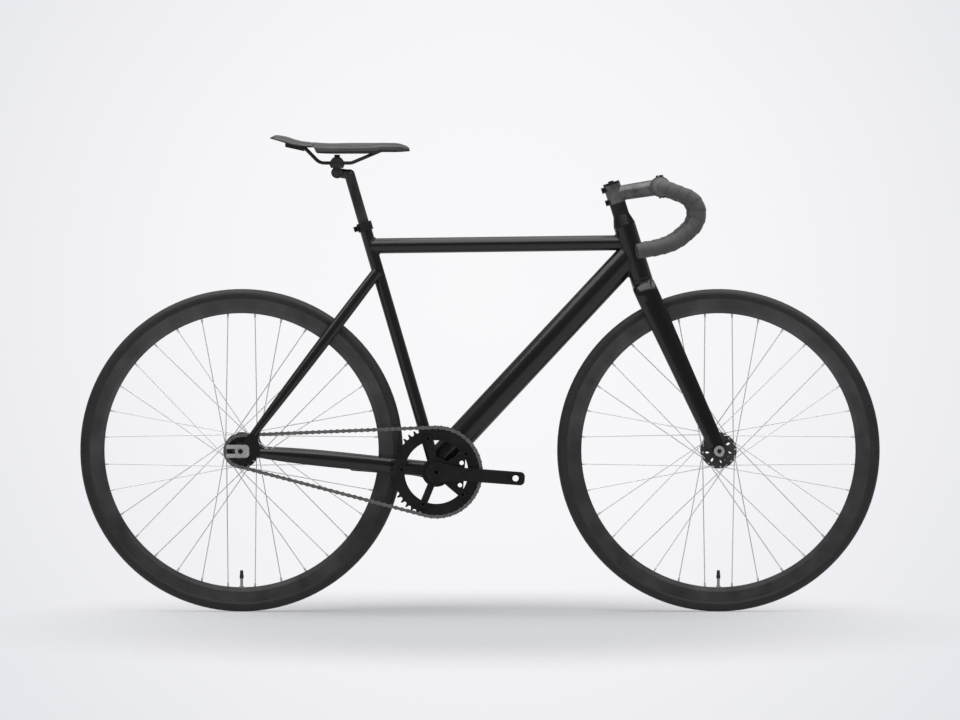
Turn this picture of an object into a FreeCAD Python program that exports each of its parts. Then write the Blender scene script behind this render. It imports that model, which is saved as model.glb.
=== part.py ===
# Fixed gear bicycle, drive side on -Y, front wheel towards +X, tyres standing on z = 0.
# The origin is on the ground, midway between the two axles.
import FreeCAD, Part
import math
import os
import re
import Sketcher

Vec = FreeCAD.Vector
doc = FreeCAD.newDocument("FixedGearBike")

# Driving dimensions in millimetres, degrees and counts
SIZES = {
    # Layout of the frame
    "wheelbase": 993,
    "bottom_bracket_drop": 44,
    "seat_angle": 73.7,
    "head_angle": 72.5,
    "fork_offset": 46,
    "axle_to_crown": 387,
    "seat_tube_length": 540,
    "top_tube_seat_height": 489,
    "top_tube_drop": 36,
    "down_tube_rise": 57,
    "down_tube_offset": 12,
    "seatstay_seat_height": 435,
    "chainstay_rise": 3.5,
    # Fits and cuts
    "running_fit": 0.06,
    "seat_gap": 0.1,
    "clear_gap": 0.3,
    "overrun": 5,
    # Wheels
    "tyre_diameter": 672,
    "tyre_section": 25,
    "tyre_wall": 2.2,
    "tube_wall": 1,
    "bead_seat_diameter": 622,
    "bead_width": 2.6,
    "rim_width": 20,
    "rim_flange_width": 1.9,
    "rim_flange_height": 5.4,
    "rim_depth": 31,
    "rim_wall": 1.8,
    "rim_nose_width": 9,
    "rim_shoulder_depth": 22,
    "rim_shoulder_width": 16,
    "rim_well_depth": 3,
    "rim_well_width": 7,
    "valve_diameter": 6,
    "valve_length": 62,
    "spoke_count": 32,
    "spoke_crosses": 3,
    "spoke_diameter": 2,
    "spoke_bend_radius": 1.5,
    "spoke_head_diameter": 3.6,
    "spoke_head_length": 1,
    "spoke_hole_diameter": 2.5,
    "spoke_hole_circle": 67,
    "nipple_diameter": 4,
    "nipple_length": 12,
    "nipple_head_diameter": 5.6,
    "nipple_head_length": 2.4,
    "nipple_hole_diameter": 5.2,
    # Hubs
    "hub_flange_diameter": 74,
    "hub_flange_thickness": 3,
    "hub_barrel_diameter": 32,
    "hub_bore_diameter": 18,
    "hub_window_count": 8,
    "hub_window_diameter": 11,
    "hub_window_circle": 49,
    "hub_bearing_diameter": 26,
    "hub_bearing_width": 8,
    "front_flange_offset": 33,
    "front_hub_end": 44,
    "front_locknut_width": 100,
    "front_axle_diameter": 9,
    "rear_flange_offset": 30,
    "rear_hub_end": 50,
    "rear_locknut_width": 120,
    "rear_axle_diameter": 10,
    "locknut_diameter": 17,
    "axle_nut_width": 15,
    "axle_nut_height": 9,
    "axle_washer_diameter": 22,
    "axle_washer_thickness": 1.5,
    "axle_end_length": 4,
    # Chain drive
    "chain_pitch": 12.7,
    "chain_line": 42,
    "chain_run_links": 32,
    "roller_diameter": 7.75,
    "roller_bore": 5.2,
    "chain_pin_diameter": 3.6,
    "chain_inner_width": 3.3,
    "chain_plate_thickness": 1,
    "chain_plate_height": 8.5,
    "chain_plate_waist": 5.8,
    "chain_plate_gap": 0.1,
    "chain_pin_end": 0.6,
    "chainring_teeth": 46,
    "cog_teeth": 16,
    "sprocket_thickness": 3,
    "tooth_height": 3.6,
    "tooth_seat_clearance": 0.12,
    "tooth_gap_opening": 13.4,
    "chainring_inner_diameter": 132,
    "cog_boss_diameter": 50,
    "cog_boss_width": 7,
    "cog_thread_diameter": 34.8,
    "lockring_diameter": 41,
    "lockring_width": 3.5,
    # Crankset
    "crank_length": 165,
    "crank_dip": 4.3,
    "crank_arm_width": 27.5,
    "crank_end": 19,
    "crank_arm_thickness": 14,
    "crank_arm_inset": 50,
    "crank_boss_diameter": 44,
    "pedal_thread_diameter": 14.3,
    "pedal_thread_depth": 0.65,
    "bolt_circle": 144,
    "spider_arms": 5,
    "spider_arm_width": 15,
    "spider_tab_diameter": 18,
    "spider_thickness": 5,
    "spider_hub_diameter": 61,
    "spider_window_angle": 24.5,
    "spider_window_circle": 112,
    "spider_window_diameter": 9,
    "chainring_bolt_diameter": 10,
    "chainring_bolt_head": 13,
    "chainring_bolt_head_height": 2,
    "spindle_diameter": 17,
    "spindle_square": 11.9,
    "crank_bolt_diameter": 8,
    "crank_bolt_head": 21,
    "crank_bolt_head_height": 5,
    "crank_bolt_length": 14,
    # Bottom bracket
    "shell_diameter": 42,
    "shell_bore": 35,
    "shell_width": 68,
    "cup_depth": 18,
    "cup_flange_diameter": 40,
    "cup_flange_width": 3,
    "cup_bore": 30,
    "cup_mouth": 24,
    "crank_bearing_width": 9,
    # Frame tubes
    "head_tube_diameter": 46,
    "head_tube_bore": 37,
    "head_tube_length": 114,
    "headset_gap": 2.7,
    "headset_bearing_diameter": 41.6,
    "headset_bearing_bore": 31,
    "headset_bearing_height": 7,
    "top_tube_height": 32,
    "top_tube_width": 30,
    "down_tube_height": 56,
    "down_tube_width": 40,
    "seat_tube_diameter": 25.4,
    "tube_wall_thickness": 1.8,
    "seat_slit_width": 3,
    "seat_slit_length": 34,
    "chainstay_height": 31,
    "chainstay_width": 17,
    "chainstay_tip": 16,
    "chainstay_tip_height": 20,
    "chainstay_spread": 25.2,
    "chainstay_reach": 40,
    "seatstay_height": 22,
    "seatstay_width": 16,
    "seatstay_tip": 15,
    "seatstay_spread": 11.5,
    "seatstay_reach": 44,
    "stay_wall": 1.4,
    "track_end_thickness": 6,
    "track_end_rear": 30,
    "track_end_arm": 8.4,
    "track_end_bottom_reach": 30,
    "track_end_tongue": 12,
    "track_end_tongue_length": 16,
    "track_end_hollow": 34,
    "track_end_hollow_rise": 17,
    "track_end_hollow_round": 18,
    "track_slot_reach": 8,
    "face_plate_thickness": 1.5,
    "face_plate_front": 18,
    "seat_collar_diameter": 32,
    "seat_collar_height": 18,
    "seat_collar_ear": 10,
    "seat_collar_ear_width": 17,
    "seat_collar_ear_height": 11,
    "seat_bolt_diameter": 5,
    "seat_bolt_head": 8.5,
    # Fork and headset
    "steerer_diameter": 28.6,
    "steerer_wall": 2,
    "crown_bridge_drop": 12,
    "crown_shoulder_radius": 20,
    "crown_leg": 32,
    "crown_boss_height": 20,
    "fork_leg_width": 20,
    "fork_blade_depth": 48,
    "fork_tip_depth": 33,
    "fork_tip_width": 14,
    "fork_tip_thickness": 7,
    "fork_tip_height": 30,
    "fork_tip_radius": 13,
    "fork_spread": 31,
    "crown_race_height": 2.4,
    "crown_race_diameter": 42,
    "headset_cover_height": 24,
    "headset_cover_top": 34,
    "headset_spacer_diameter": 34,
    "headset_spacer_height": 13,
    "headset_spacers": 2,
    # Stem and handlebar
    "stem_clamp_height": 40,
    "stem_clamp_diameter": 36,
    "stem_length": 96,
    "stem_rise": 9,
    "stem_neck_height": 31,
    "stem_neck_width": 34,
    "bar_clamp_diameter": 31.8,
    "bar_clamp_width": 44,
    "bar_clamp_wall": 5.5,
    "faceplate_gap": 2,
    "stem_bolt_diameter": 5,
    "stem_bolt_head": 8.5,
    "stem_bolt_head_height": 4,
    "stem_bolt_spread": 32,
    "stem_bolt_rise": 19.7,
    "stem_lug_depth": 12,
    "stem_lug_height": 12,
    "stem_lug_spacing": 27,
    "top_cap_diameter": 35,
    "top_cap_height": 5,
    "top_cap_bolt_diameter": 6,
    "top_cap_bolt_length": 40,
    "handlebar_width": 400,
    "handlebar_diameter": 23.8,
    "handlebar_wall": 2,
    "handlebar_bulge": 60,
    "handlebar_taper": 14,
    "handlebar_reach": 80,
    "handlebar_ramp_drop": 30.2,
    "handlebar_hook_back": 8.7,
    "handlebar_hook_drop": 49.2,
    "handlebar_sweep_back": 42.8,
    "handlebar_sweep_drop": 37.1,
    "handlebar_tail_back": 42.5,
    "handlebar_tail_drop": 12,
    "handlebar_end_back": 36,
    "handlebar_end_drop": 4,
    "handlebar_shoulder_radius": 42,
    "handlebar_front_radius": 38,
    "handlebar_hook_radius": 47,
    "handlebar_sweep_radius": 95,
    "handlebar_tail_radius": 200,
    "tape_thickness": 3.4,
    "tape_start": 27,
    "plug_dome": 5,
    "plug_depth": 18,
    # Seatpost and saddle
    "seatpost_diameter": 22.2,
    "seatpost_wall": 2.2,
    "seatpost_inserted": 150,
    "saddle_rail_height": 934,
    "saddle_setback": 26,
    "post_head_diameter": 24,
    "post_head_width": 40,
    "post_head_drop": 20,
    "post_knee_drop": 24,
    "post_neck_diameter": 20,
    "cradle_length": 33,
    "cradle_top_length": 16,
    "cradle_foot_length": 25,
    "cradle_width": 58,
    "cradle_lower_height": 10,
    "cradle_upper_height": 11,
    "cradle_gap": 0.8,
    "clamp_bolt_diameter": 6,
    "clamp_bolt_head": 12,
    "clamp_bolt_head_height": 6,
    "rail_diameter": 7,
    "rail_spacing": 44,
    "rail_tail_spacing": 72,
    "rail_nose_spacing": 24,
    "rail_rear_reach": 72,
    "rail_rear_bend": 36,
    "rail_front_bend": 30,
    "rail_front_reach": 92,
    "rail_bend_radius": 22,
    "saddle_length": 289,
    "saddle_width": 142,
    "saddle_crown": 40,
    "saddle_tail_reach": 138,
    "saddle_rise": 19.4,
    "saddle_shell_thickness": 3.6,
    "rail_socket_start": 31,
    "rail_socket_end": 69,
    "rail_socket_depth": 8,
    "rail_socket_width": 15,
}

sheet = doc.addObject("Spreadsheet::Sheet", "Sizes")
for row, (alias, number) in enumerate(SIZES.items(), start=1):
    sheet.set(f"A{row}", alias)
    sheet.set(f"B{row}", str(number))
    sheet.setAlias(f"B{row}", alias)
doc.recompute()

nodes = []
WORD = re.compile(r"[A-Za-z_]+")


def size(formula):
    """Number that a formula written in the sheet's names gives."""
    return float(sheet.evalExpression(formula))


def bound(formula):
    """The same formula as other objects write it, with the sheet named."""
    def named(found):
        word = found.group()
        return f"Sizes.{word}" if word in SIZES else word
    return WORD.sub(named, formula)


def bind(item, **formulas):
    """Tie each property to its formula, or set it where it was worked out from the layout."""
    for prop, formula in formulas.items():
        if isinstance(formula, str):
            item.setExpression(prop, bound(formula))
        else:
            setattr(item, prop, formula)


def node(item, label):
    """Hand a finished sub-part over under its own name."""
    item.Label = label
    nodes.append(item)
    return item


def place(origin, axis, across=None):
    """Carry +Z onto the axis and, where it is given, +X onto the across direction."""
    upward = Vec(axis).normalize()
    if across is None:
        return FreeCAD.Placement(origin, FreeCAD.Rotation(Vec(0, 0, 1), upward))
    turn = FreeCAD.Rotation(across, upward.cross(across), upward, "ZXY")
    return FreeCAD.Placement(origin, turn)


def cylinder(name, diameter, length, origin, axis, centred=False):
    """Round bar from the origin along the axis, or centred on the origin."""
    bar = doc.addObject("Part::Cylinder", name)
    bind(bar, Radius=f"({diameter}) / 2", Height=length)
    along = Vec(axis).normalize()
    if centred:
        reach = size(length) if isinstance(length, str) else length
        origin = origin - along * (reach / 2)
    bar.Placement = place(origin, along)
    return bar


def block(name, lengths, centre, axis=Vec(0, 0, 1), across=Vec(1, 0, 0)):
    """Box centred on a point, its length along across and its height along the axis."""
    box = doc.addObject("Part::Box", name)
    bind(box, Length=lengths[0], Width=lengths[1], Height=lengths[2])
    half = Vec(size(lengths[0]), size(lengths[1]), size(lengths[2])) * 0.5
    box.Placement = place(centre, axis, across).multiply(FreeCAD.Placement(-half, FreeCAD.Rotation()))
    return box


def cut(name, base, *tools):
    """Take each tool away from the base."""
    for tool in tools:
        step = doc.addObject("Part::Cut", name)
        step.Base = base
        step.Tool = tool
        base = step
    return base


def fuse(name, *pieces):
    """One solid from pieces that are forged or welded as one."""
    joined = doc.addObject("Part::MultiFuse", name)
    joined.Shapes = list(pieces)
    joined.Refine = True
    return joined


def group(name, *pieces):
    """Separate solids that share one node."""
    together = doc.addObject("Part::Compound", name)
    together.Links = list(pieces)
    return together


def pipe(name, outer, inner, length, origin, axis, centred=False):
    """Round tube."""
    skin = cylinder(name + "Skin", outer, length, origin, axis, centred)
    bore = cylinder(name + "Bore", inner, length, origin, axis, centred)
    return cut(name, skin, bore)


def outline(body, name, role, loops):
    """Closed loops on one of the body's origin planes, each corner tied to its two formulas."""
    sketch = body.newObject("Sketcher::SketchObject", name)
    plane = next(item for item in body.Origin.OriginFeatures if item.Role == role)
    sketch.AttachmentSupport = [(plane, "")]
    sketch.MapMode = "FlatFace"
    for corners in loops:
        first = sketch.GeometryCount
        count = len(corners)
        spots = [Vec(size(across), size(along), 0) for across, along in corners]
        for index in range(count):
            sketch.addGeometry(Part.LineSegment(spots[index], spots[(index + 1) % count]))
        for index in range(count):
            follower = first + (index + 1) % count
            sketch.addConstraint(Sketcher.Constraint("Coincident", first + index, 2, follower, 1))
        for index, corner in enumerate(corners):
            for kind, formula in zip(("DistanceX", "DistanceY"), corner):
                tie = Sketcher.Constraint(kind, -1, 1, first + index, 1, size(formula))
                sketch.setExpression(f"Constraints[{sketch.addConstraint(tie)}]", bound(formula))
    return sketch


def turned(name, loops, placement):
    """Body turned about its own Z from loops of (radius, height) corners."""
    body = doc.addObject("PartDesign::Body", name)
    turn = body.newObject("PartDesign::Revolution", name + "Turn")
    sketch = outline(body, name + "Section", "XZ_Plane", loops)
    turn.Profile = sketch
    turn.ReferenceAxis = (sketch, ["V_Axis"])
    turn.Angle = 360
    body.Tip = turn
    body.Placement = placement
    return body


def both_sides(corners):
    """A section given on its + side, closed by the same corners on the other side."""
    return corners + [(radius, f"-({width})") for radius, width in reversed(corners)]


def plate(name, loops, thickness, placement, rounds=()):
    """Flat body padded along its own Z, with some of its corners rounded."""
    body = doc.addObject("PartDesign::Body", name)
    sketch = outline(body, name + "Outline", "XY_Plane", loops)
    pad = body.newObject("PartDesign::Pad", name + "Pad")
    pad.Profile = sketch
    bind(pad, Length=thickness)
    body.Tip = pad
    doc.recompute()
    last = pad
    for radius in dict.fromkeys(radius for corner, radius in rounds):
        spots = [loops[0][corner] for corner, wanted in rounds if wanted == radius]
        fillet = body.newObject("PartDesign::Fillet", name + "Round")
        fillet.Base = (last, upright_edges(last.Shape, spots))
        bind(fillet, Radius=radius)
        body.Tip = fillet
        doc.recompute()
        last = fillet
    body.Placement = placement
    return body


def upright_edges(shape, spots):
    """Names of the edges along Z that stand on the given corners."""
    found = []
    for across, along in spots:
        corner = Vec(size(across), size(along), 0)
        misses = []
        for index, edge in enumerate(shape.Edges, start=1):
            ends = [Vec(end.X, end.Y, 0).distanceToPoint(corner) for end in edge.Vertexes]
            if len(ends) == 2:
                misses.append((sum(ends), index))
        found.append(f"Edge{min(misses)[1]}")
    return found


def oval_tube(name, stations, across, wall):
    """Hollow tube lofted through ovals of (centre, axis, height, width)."""
    skins = []
    for skin, inset in (("Skin", "0"), ("Bore", wall)):
        ovals = []
        for centre, axis, height, width in stations:
            oval = doc.addObject("Part::Ellipse", f"{name}{skin}Oval")
            bind(oval, MajorRadius=f"({height}) / 2 - {inset}", MinorRadius=f"({width}) / 2 - {inset}")
            oval.Placement = place(centre, axis, across)
            ovals.append(oval)
        loft = doc.addObject("Part::Loft", name + skin)
        loft.Sections = ovals
        loft.Solid = True
        skins.append(loft)
    return skins[0], cut(name, *skins)


def oval_bar(name, depth, width, across, wire):
    """Oval bar swept along a flat wire, its depth along across, square to the wire's plane."""
    spine = doc.addObject("Part::Feature", name + "Path")
    spine.Shape = wire
    oval = doc.addObject("Part::Ellipse", name + "Oval")
    bind(oval, MajorRadius=f"({depth}) / 2", MinorRadius=f"({width}) / 2")
    start = wire.OrderedEdges[0]
    oval.Placement = place(start.valueAt(start.FirstParameter), start.tangentAt(start.FirstParameter), across)
    sweep = doc.addObject("Part::Sweep", name)
    sweep.Sections = [oval]
    sweep.Spine = (spine, [])
    sweep.Solid = True
    return sweep


def rounded_path(points, radii):
    """Straight runs through the points, joined by tangent arcs of the given radii."""
    edges = []
    start = points[0]
    for before, corner, after, radius in zip(points, points[1:], points[2:], radii):
        inward = (before - corner).normalize()
        outward = (after - corner).normalize()
        half = inward.getAngle(outward) / 2
        reach = radius / math.tan(half)
        middle = (inward + outward).normalize()
        crest = corner + middle * (radius / math.sin(half) - radius)
        edges.append(Part.LineSegment(start, corner + inward * reach).toShape())
        edges.append(Part.Arc(corner + inward * reach, crest, corner + outward * reach).toShape())
        start = corner + outward * reach
    edges.append(Part.LineSegment(start, points[-1]).toShape())
    return Part.Wire(edges)


def swept(name, diameter, wire):
    """Round bar swept along a wire."""
    spine = doc.addObject("Part::Feature", name + "Path")
    spine.Shape = wire
    ring = doc.addObject("Part::Circle", name + "Ring")
    bind(ring, Radius=f"({diameter}) / 2")
    start = wire.OrderedEdges[0]
    ring.Placement = place(start.valueAt(start.FirstParameter), start.tangentAt(start.FirstParameter))
    sweep = doc.addObject("Part::Sweep", name)
    sweep.Sections = [ring]
    sweep.Spine = (spine, [])
    sweep.Solid = True
    return sweep


# Layout: directions, axles and the lines that the tubes follow
RIGHT = Vec(0, -1, 0)
LEFT = Vec(0, 1, 0)
FORWARD = Vec(1, 0, 0)
UP = Vec(0, 0, 1)
SIDES = (("right", RIGHT), ("left", LEFT))

rear_axle = Vec(-size("wheelbase / 2"), 0, size("tyre_diameter / 2"))
front_axle = Vec(size("wheelbase / 2"), 0, size("tyre_diameter / 2"))

# The chain closes on whole links, and that sets the distance between cog and chainring
ring_wrap_share = 0.543
cog_wrap_share = 0.437
pitch = size("chain_pitch")
run_links = int(size("chain_run_links"))
ring_teeth = int(size("chainring_teeth"))
cog_teeth = int(size("cog_teeth"))
ring_radius = size("chain_pitch / (2 * sin(180 / chainring_teeth))")
cog_radius = size("chain_pitch / (2 * sin(180 / cog_teeth))")
ring_wrap = round(ring_teeth * ring_wrap_share)
cog_wrap = ring_wrap - 2 * round((ring_wrap - cog_teeth * cog_wrap_share) / 2)
ring_half = ring_wrap * math.pi / ring_teeth
cog_half = cog_wrap * math.pi / cog_teeth
run_rise = ring_radius * math.sin(ring_half) - cog_radius * math.sin(cog_half)
run_reach = math.sqrt((run_links * pitch) ** 2 - run_rise ** 2)
centres = run_reach - ring_radius * math.cos(ring_half) - cog_radius * math.cos(cog_half)

drop = size("bottom_bracket_drop")
crank_axle = rear_axle + Vec(math.sqrt(centres ** 2 - drop ** 2), 0, -drop)

seat_up = Vec(-math.cos(math.radians(size("seat_angle"))), 0, math.sin(math.radians(size("seat_angle"))))
seat_back = Vec(-seat_up.z, 0, seat_up.x)
steer_up = Vec(-math.cos(math.radians(size("head_angle"))), 0, math.sin(math.radians(size("head_angle"))))
steer_ahead = Vec(steer_up.z, 0, -steer_up.x)
steer_foot = front_axle - steer_ahead * size("fork_offset")


def seat_point(height):
    """Point on the seat tube's axis, so far above the crank axle."""
    return crank_axle + seat_up * height


def steer_point(height):
    """Point on the steering axis, so far above the foot of the front axle."""
    return steer_foot + steer_up * height


head_base = size("axle_to_crown + headset_gap")
head_top = size("axle_to_crown + headset_gap + head_tube_length")

# Frame: bottom bracket shell, seat tube and head tube
shell_solid = cylinder("ShellSolid", "shell_diameter", "shell_width", crank_axle, LEFT, centred=True)
node(pipe("Shell", "shell_diameter", "shell_bore", "shell_width", crank_axle, LEFT, centred=True),
     "bottom_bracket_shell")

seat_solid = cylinder("SeatTubeSolid", "seat_tube_diameter", "seat_tube_length", crank_axle, seat_up)
seat_bore = "seatpost_diameter + 2 * running_fit"
seat_pipe = pipe("SeatTubePipe", "seat_tube_diameter", seat_bore, "seat_tube_length", crank_axle, seat_up)
slit_middle = seat_point(size("seat_tube_length - seat_slit_length / 2"))
slit_centre = slit_middle + seat_back * size("seat_tube_diameter / 2")
seat_slit = block("SeatSlit", ("seat_tube_diameter", "seat_slit_width", "seat_slit_length + overrun"),
                  slit_centre + seat_up * size("overrun / 2"), seat_up, seat_back)
node(cut("SeatTube", seat_pipe, shell_solid, seat_slit), "seat_tube")

head_solid = cylinder("HeadTubeSolid", "head_tube_diameter", "head_tube_length", steer_point(head_base), steer_up)
cup = "headset_bearing_diameter / 2 + running_fit"
node(turned("HeadTube", [[
    ("head_tube_bore / 2", "headset_bearing_height"),
    (cup, "headset_bearing_height"),
    (cup, "0"),
    ("head_tube_diameter / 2", "0"),
    ("head_tube_diameter / 2", "head_tube_length"),
    (cup, "head_tube_length"),
    (cup, "head_tube_length - headset_bearing_height"),
    ("head_tube_bore / 2", "head_tube_length - headset_bearing_height"),
]], place(steer_point(head_base), steer_up)), "head_tube")

# Frame: down tube and top tube, mitred against their neighbours
down_front = steer_point(size("axle_to_crown + headset_gap + down_tube_rise"))
down_reach = down_front - crank_axle
down_lean = math.atan2(down_reach.z, down_reach.x) + math.asin(-size("down_tube_offset") / down_reach.Length)
down_up = Vec(math.cos(down_lean), 0, math.sin(down_lean))
down_normal = Vec(-down_up.z, 0, down_up.x)
down_rear = crank_axle + down_normal * size("down_tube_offset")
down_solid, down_pipe = oval_tube("DownTubePipe", [
    (down_rear, down_up, "down_tube_height", "down_tube_width"),
    (down_front, down_up, "down_tube_height", "down_tube_width"),
], down_normal, "tube_wall_thickness")
behind_seat = block("BehindSeatTube", ("down_tube_height", "shell_width", "seat_tube_length"),
                    seat_point(size("seat_tube_length / 2")) + seat_back * size("down_tube_height / 2"),
                    seat_up, seat_back)
node(cut("DownTube", down_pipe, shell_solid, seat_solid, behind_seat, head_solid), "down_tube")

top_rear = seat_point(size("top_tube_seat_height"))
top_front = steer_point(head_top - size("top_tube_drop"))
top_ahead = (top_front - top_rear).normalize()
top_normal = Vec(-top_ahead.z, 0, top_ahead.x)
_, top_pipe = oval_tube("TopTubePipe", [
    (top_rear, top_ahead, "top_tube_height", "top_tube_width"),
    (top_front, top_ahead, "top_tube_height", "top_tube_width"),
], top_normal, "tube_wall_thickness")
node(cut("TopTube", top_pipe, seat_solid, head_solid, down_solid), "top_tube")

# Frame: track ends, with a slot open to the rear and a tongue for each stay
chain_end = crank_axle + UP * size("chainstay_rise")
chain_ahead = (chain_end - rear_axle).normalize()
chain_lean = math.degrees(math.atan2(chain_ahead.z, chain_ahead.x))
seatstay_top = seat_point(size("seatstay_seat_height"))
seatstay_up = (seatstay_top - rear_axle).normalize()
seatstay_lean = math.degrees(math.atan2(seatstay_up.z, seatstay_up.x))
slot = "(rear_axle_diameter / 2 + seat_gap)"
slot_round_share = 0.9
slot_round = f"{slot} * {slot_round_share}"
arm = f"({slot} + track_end_arm)"


def tongue_corner(reach, lean, side):
    """Corner of a tongue that runs out from the axle along a stay."""
    cosine = math.cos(math.radians(lean))
    sine = math.sin(math.radians(lean))
    ahead = f"({reach}) * {cosine:.6f} - ({side}) * {sine:.6f}"
    rise = f"({reach}) * {sine:.6f} + ({side}) * {cosine:.6f}"
    return ahead, rise


chain_tongue = "chainstay_reach + track_end_tongue_length"
seat_tongue = "seatstay_reach + track_end_tongue_length"
track_outline = [
    ("-track_end_rear", f"-{arm}"),
    ("track_end_bottom_reach", f"-{arm}"),
    tongue_corner(chain_tongue, chain_lean, "-track_end_tongue / 2"),
    tongue_corner(chain_tongue, chain_lean, "track_end_tongue / 2"),
    ("track_end_hollow", "track_end_hollow_rise"),
    tongue_corner(seat_tongue, seatstay_lean, "-track_end_tongue / 2"),
    tongue_corner(seat_tongue, seatstay_lean, "track_end_tongue / 2"),
    ("0", arm),
    ("-track_end_rear", arm),
    ("-track_end_rear", slot),
    ("track_slot_reach", slot),
    ("track_slot_reach", f"-{slot}"),
    ("-track_end_rear", f"-{slot}"),
]
face_outline = [
    ("-track_end_rear", f"-{arm}"),
    ("face_plate_front", f"-{arm}"),
    ("face_plate_front", arm),
    ("-track_end_rear", arm),
    ("-track_end_rear", slot),
    ("track_slot_reach", slot),
    ("track_slot_reach", f"-{slot}"),
    ("-track_end_rear", f"-{slot}"),
]
inside = size("rear_locknut_width / 2")
outside = size("rear_locknut_width / 2 + track_end_thickness")
proud = size("rear_locknut_width / 2 + track_end_thickness + face_plate_thickness")
track_ends = {}
face_plates = []
for side, out in SIDES:
    body_base = rear_axle + LEFT * (-inside if out == RIGHT else outside)
    face_base = rear_axle + LEFT * (-outside if out == RIGHT else proud)
    track_ends[side] = node(plate(
        "TrackEnd" + side.title(), [track_outline], "track_end_thickness",
        place(body_base, RIGHT, FORWARD),
        [(4, "track_end_hollow_round"), (0, "track_end_arm / 4"), (8, "track_end_arm / 4"),
         (10, slot_round), (11, slot_round)]), "track_end_" + side)
    face_plates.append(plate(
        "FacePlate" + side.title(), [face_outline], "face_plate_thickness",
        place(face_base, RIGHT, FORWARD),
        [(0, "track_end_arm / 4"), (3, "track_end_arm / 4"), (1, "track_end_arm"), (2, "track_end_arm"),
         (5, slot_round), (6, slot_round)]))
node(group("FacePlates", *face_plates), "track_end_face_plates")

# Frame: chainstays, bent in to pass between tyre and chainring, and seatstays
stay_centre = size("rear_locknut_width / 2 + track_end_thickness / 2")
chain_normal = Vec(-chain_ahead.z, 0, chain_ahead.x)
seatstay_normal = Vec(-seatstay_up.z, 0, seatstay_up.x)
chain_reach = (chain_end - rear_axle).Length
chainstay_bend_shares = ((0.36, 0.50), (0.68, 0.03))
seatstay_full_share = 0.33
for side, out in SIDES:
    tip = size("chainstay_reach")
    stay_tip = rear_axle + chain_ahead * tip + out * stay_centre
    stations = [(stay_tip, chain_ahead, "chainstay_tip_height", "chainstay_tip")]
    for share, spread_share in chainstay_bend_shares:
        spread = size("chainstay_spread") + (stay_centre - size("chainstay_spread")) * spread_share
        middle = rear_axle + chain_ahead * (tip + (chain_reach - tip) * share) + out * spread
        stations.append((middle, chain_ahead, "chainstay_height", "chainstay_width"))
    stations.append((chain_end + out * size("chainstay_spread"), chain_ahead, "chainstay_height", "chainstay_width"))
    _, stay = oval_tube("ChainstayPipe" + side.title(), stations, chain_normal, "stay_wall")
    node(cut("Chainstay" + side.title(), stay, shell_solid, track_ends[side]), "chainstay_" + side)
    low = rear_axle + seatstay_up * size("seatstay_reach") + out * stay_centre
    high = seatstay_top + out * size("seatstay_spread")
    full = low + (high - low) * seatstay_full_share
    _, stay = oval_tube("SeatstayPipe" + side.title(), [
        (low, seatstay_up, "seatstay_tip", "seatstay_tip"),
        (full, seatstay_up, "seatstay_height", "seatstay_width"),
        (high, seatstay_up, "seatstay_height", "seatstay_width"),
    ], seatstay_normal, "stay_wall")
    node(cut("Seatstay" + side.title(), stay, seat_solid, track_ends[side]), "seatstay_" + side)

# Frame: seat clamp, a split collar drawn together by a bolt behind the seat tube
collar_base = seat_point(size("seat_tube_length - seat_collar_height"))
collar_middle = collar_base + seat_up * size("seat_collar_height / 2")
bolt_centre = collar_middle + seat_back * size("seat_collar_diameter / 2 + seat_collar_ear / 4")
collar_ring = cylinder("CollarRing", "seat_collar_diameter", "seat_collar_height", collar_base, seat_up)
collar_ear = block("CollarEar", ("seat_collar_ear", "seat_collar_ear_width", "seat_collar_ear_height"),
                   bolt_centre, seat_up, seat_back)
collar_bore = cylinder("CollarBore", "seat_tube_diameter + 2 * seat_gap", "seat_collar_height", collar_base, seat_up)
collar_slit = block("CollarSlit", ("seat_collar_diameter", "seat_slit_width", "seat_collar_height"),
                    collar_middle + seat_back * size("seat_collar_diameter / 2"), seat_up, seat_back)
collar_hole = cylinder("CollarHole", "seat_bolt_diameter + 2 * seat_gap", "seat_collar_ear_width",
                       bolt_centre, LEFT, centred=True)
collar = cut("Collar", fuse("CollarBlank", collar_ring, collar_ear), collar_bore, collar_slit, collar_hole)
collar_shank = cylinder("CollarShank", "seat_bolt_diameter", "seat_collar_ear_width", bolt_centre, LEFT,
                        centred=True)
collar_head = cylinder("CollarHead", "seat_bolt_head", "seat_bolt_diameter",
                       bolt_centre + RIGHT * size("seat_collar_ear_width / 2"), RIGHT)
node(group("SeatClamp", collar, fuse("CollarBolt", collar_shank, collar_head)), "seat_clamp")

# Headset: two bearings in the head tube, and what turns with the steerer above and below them
upper_seat = head_top - size("headset_bearing_height")
node(group(
    "HeadsetBearings",
    pipe("LowerBearing", "headset_bearing_diameter", "headset_bearing_bore", "headset_bearing_height",
         steer_point(head_base), steer_up),
    pipe("UpperBearing", "headset_bearing_diameter", "headset_bearing_bore", "headset_bearing_height",
         steer_point(upper_seat), steer_up),
), "headset_bearings")

sleeve = "headset_bearing_bore / 2 - running_fit"
steerer_hole = "steerer_diameter / 2 + running_fit"
crown_race = turned("CrownRace", [[
    (steerer_hole, "0"),
    ("crown_race_diameter / 2", "0"),
    (sleeve, "crown_race_height"),
    (sleeve, "crown_race_height + headset_bearing_height"),
    (steerer_hole, "crown_race_height + headset_bearing_height"),
]], place(steer_point(size("axle_to_crown")), steer_up))

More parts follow.
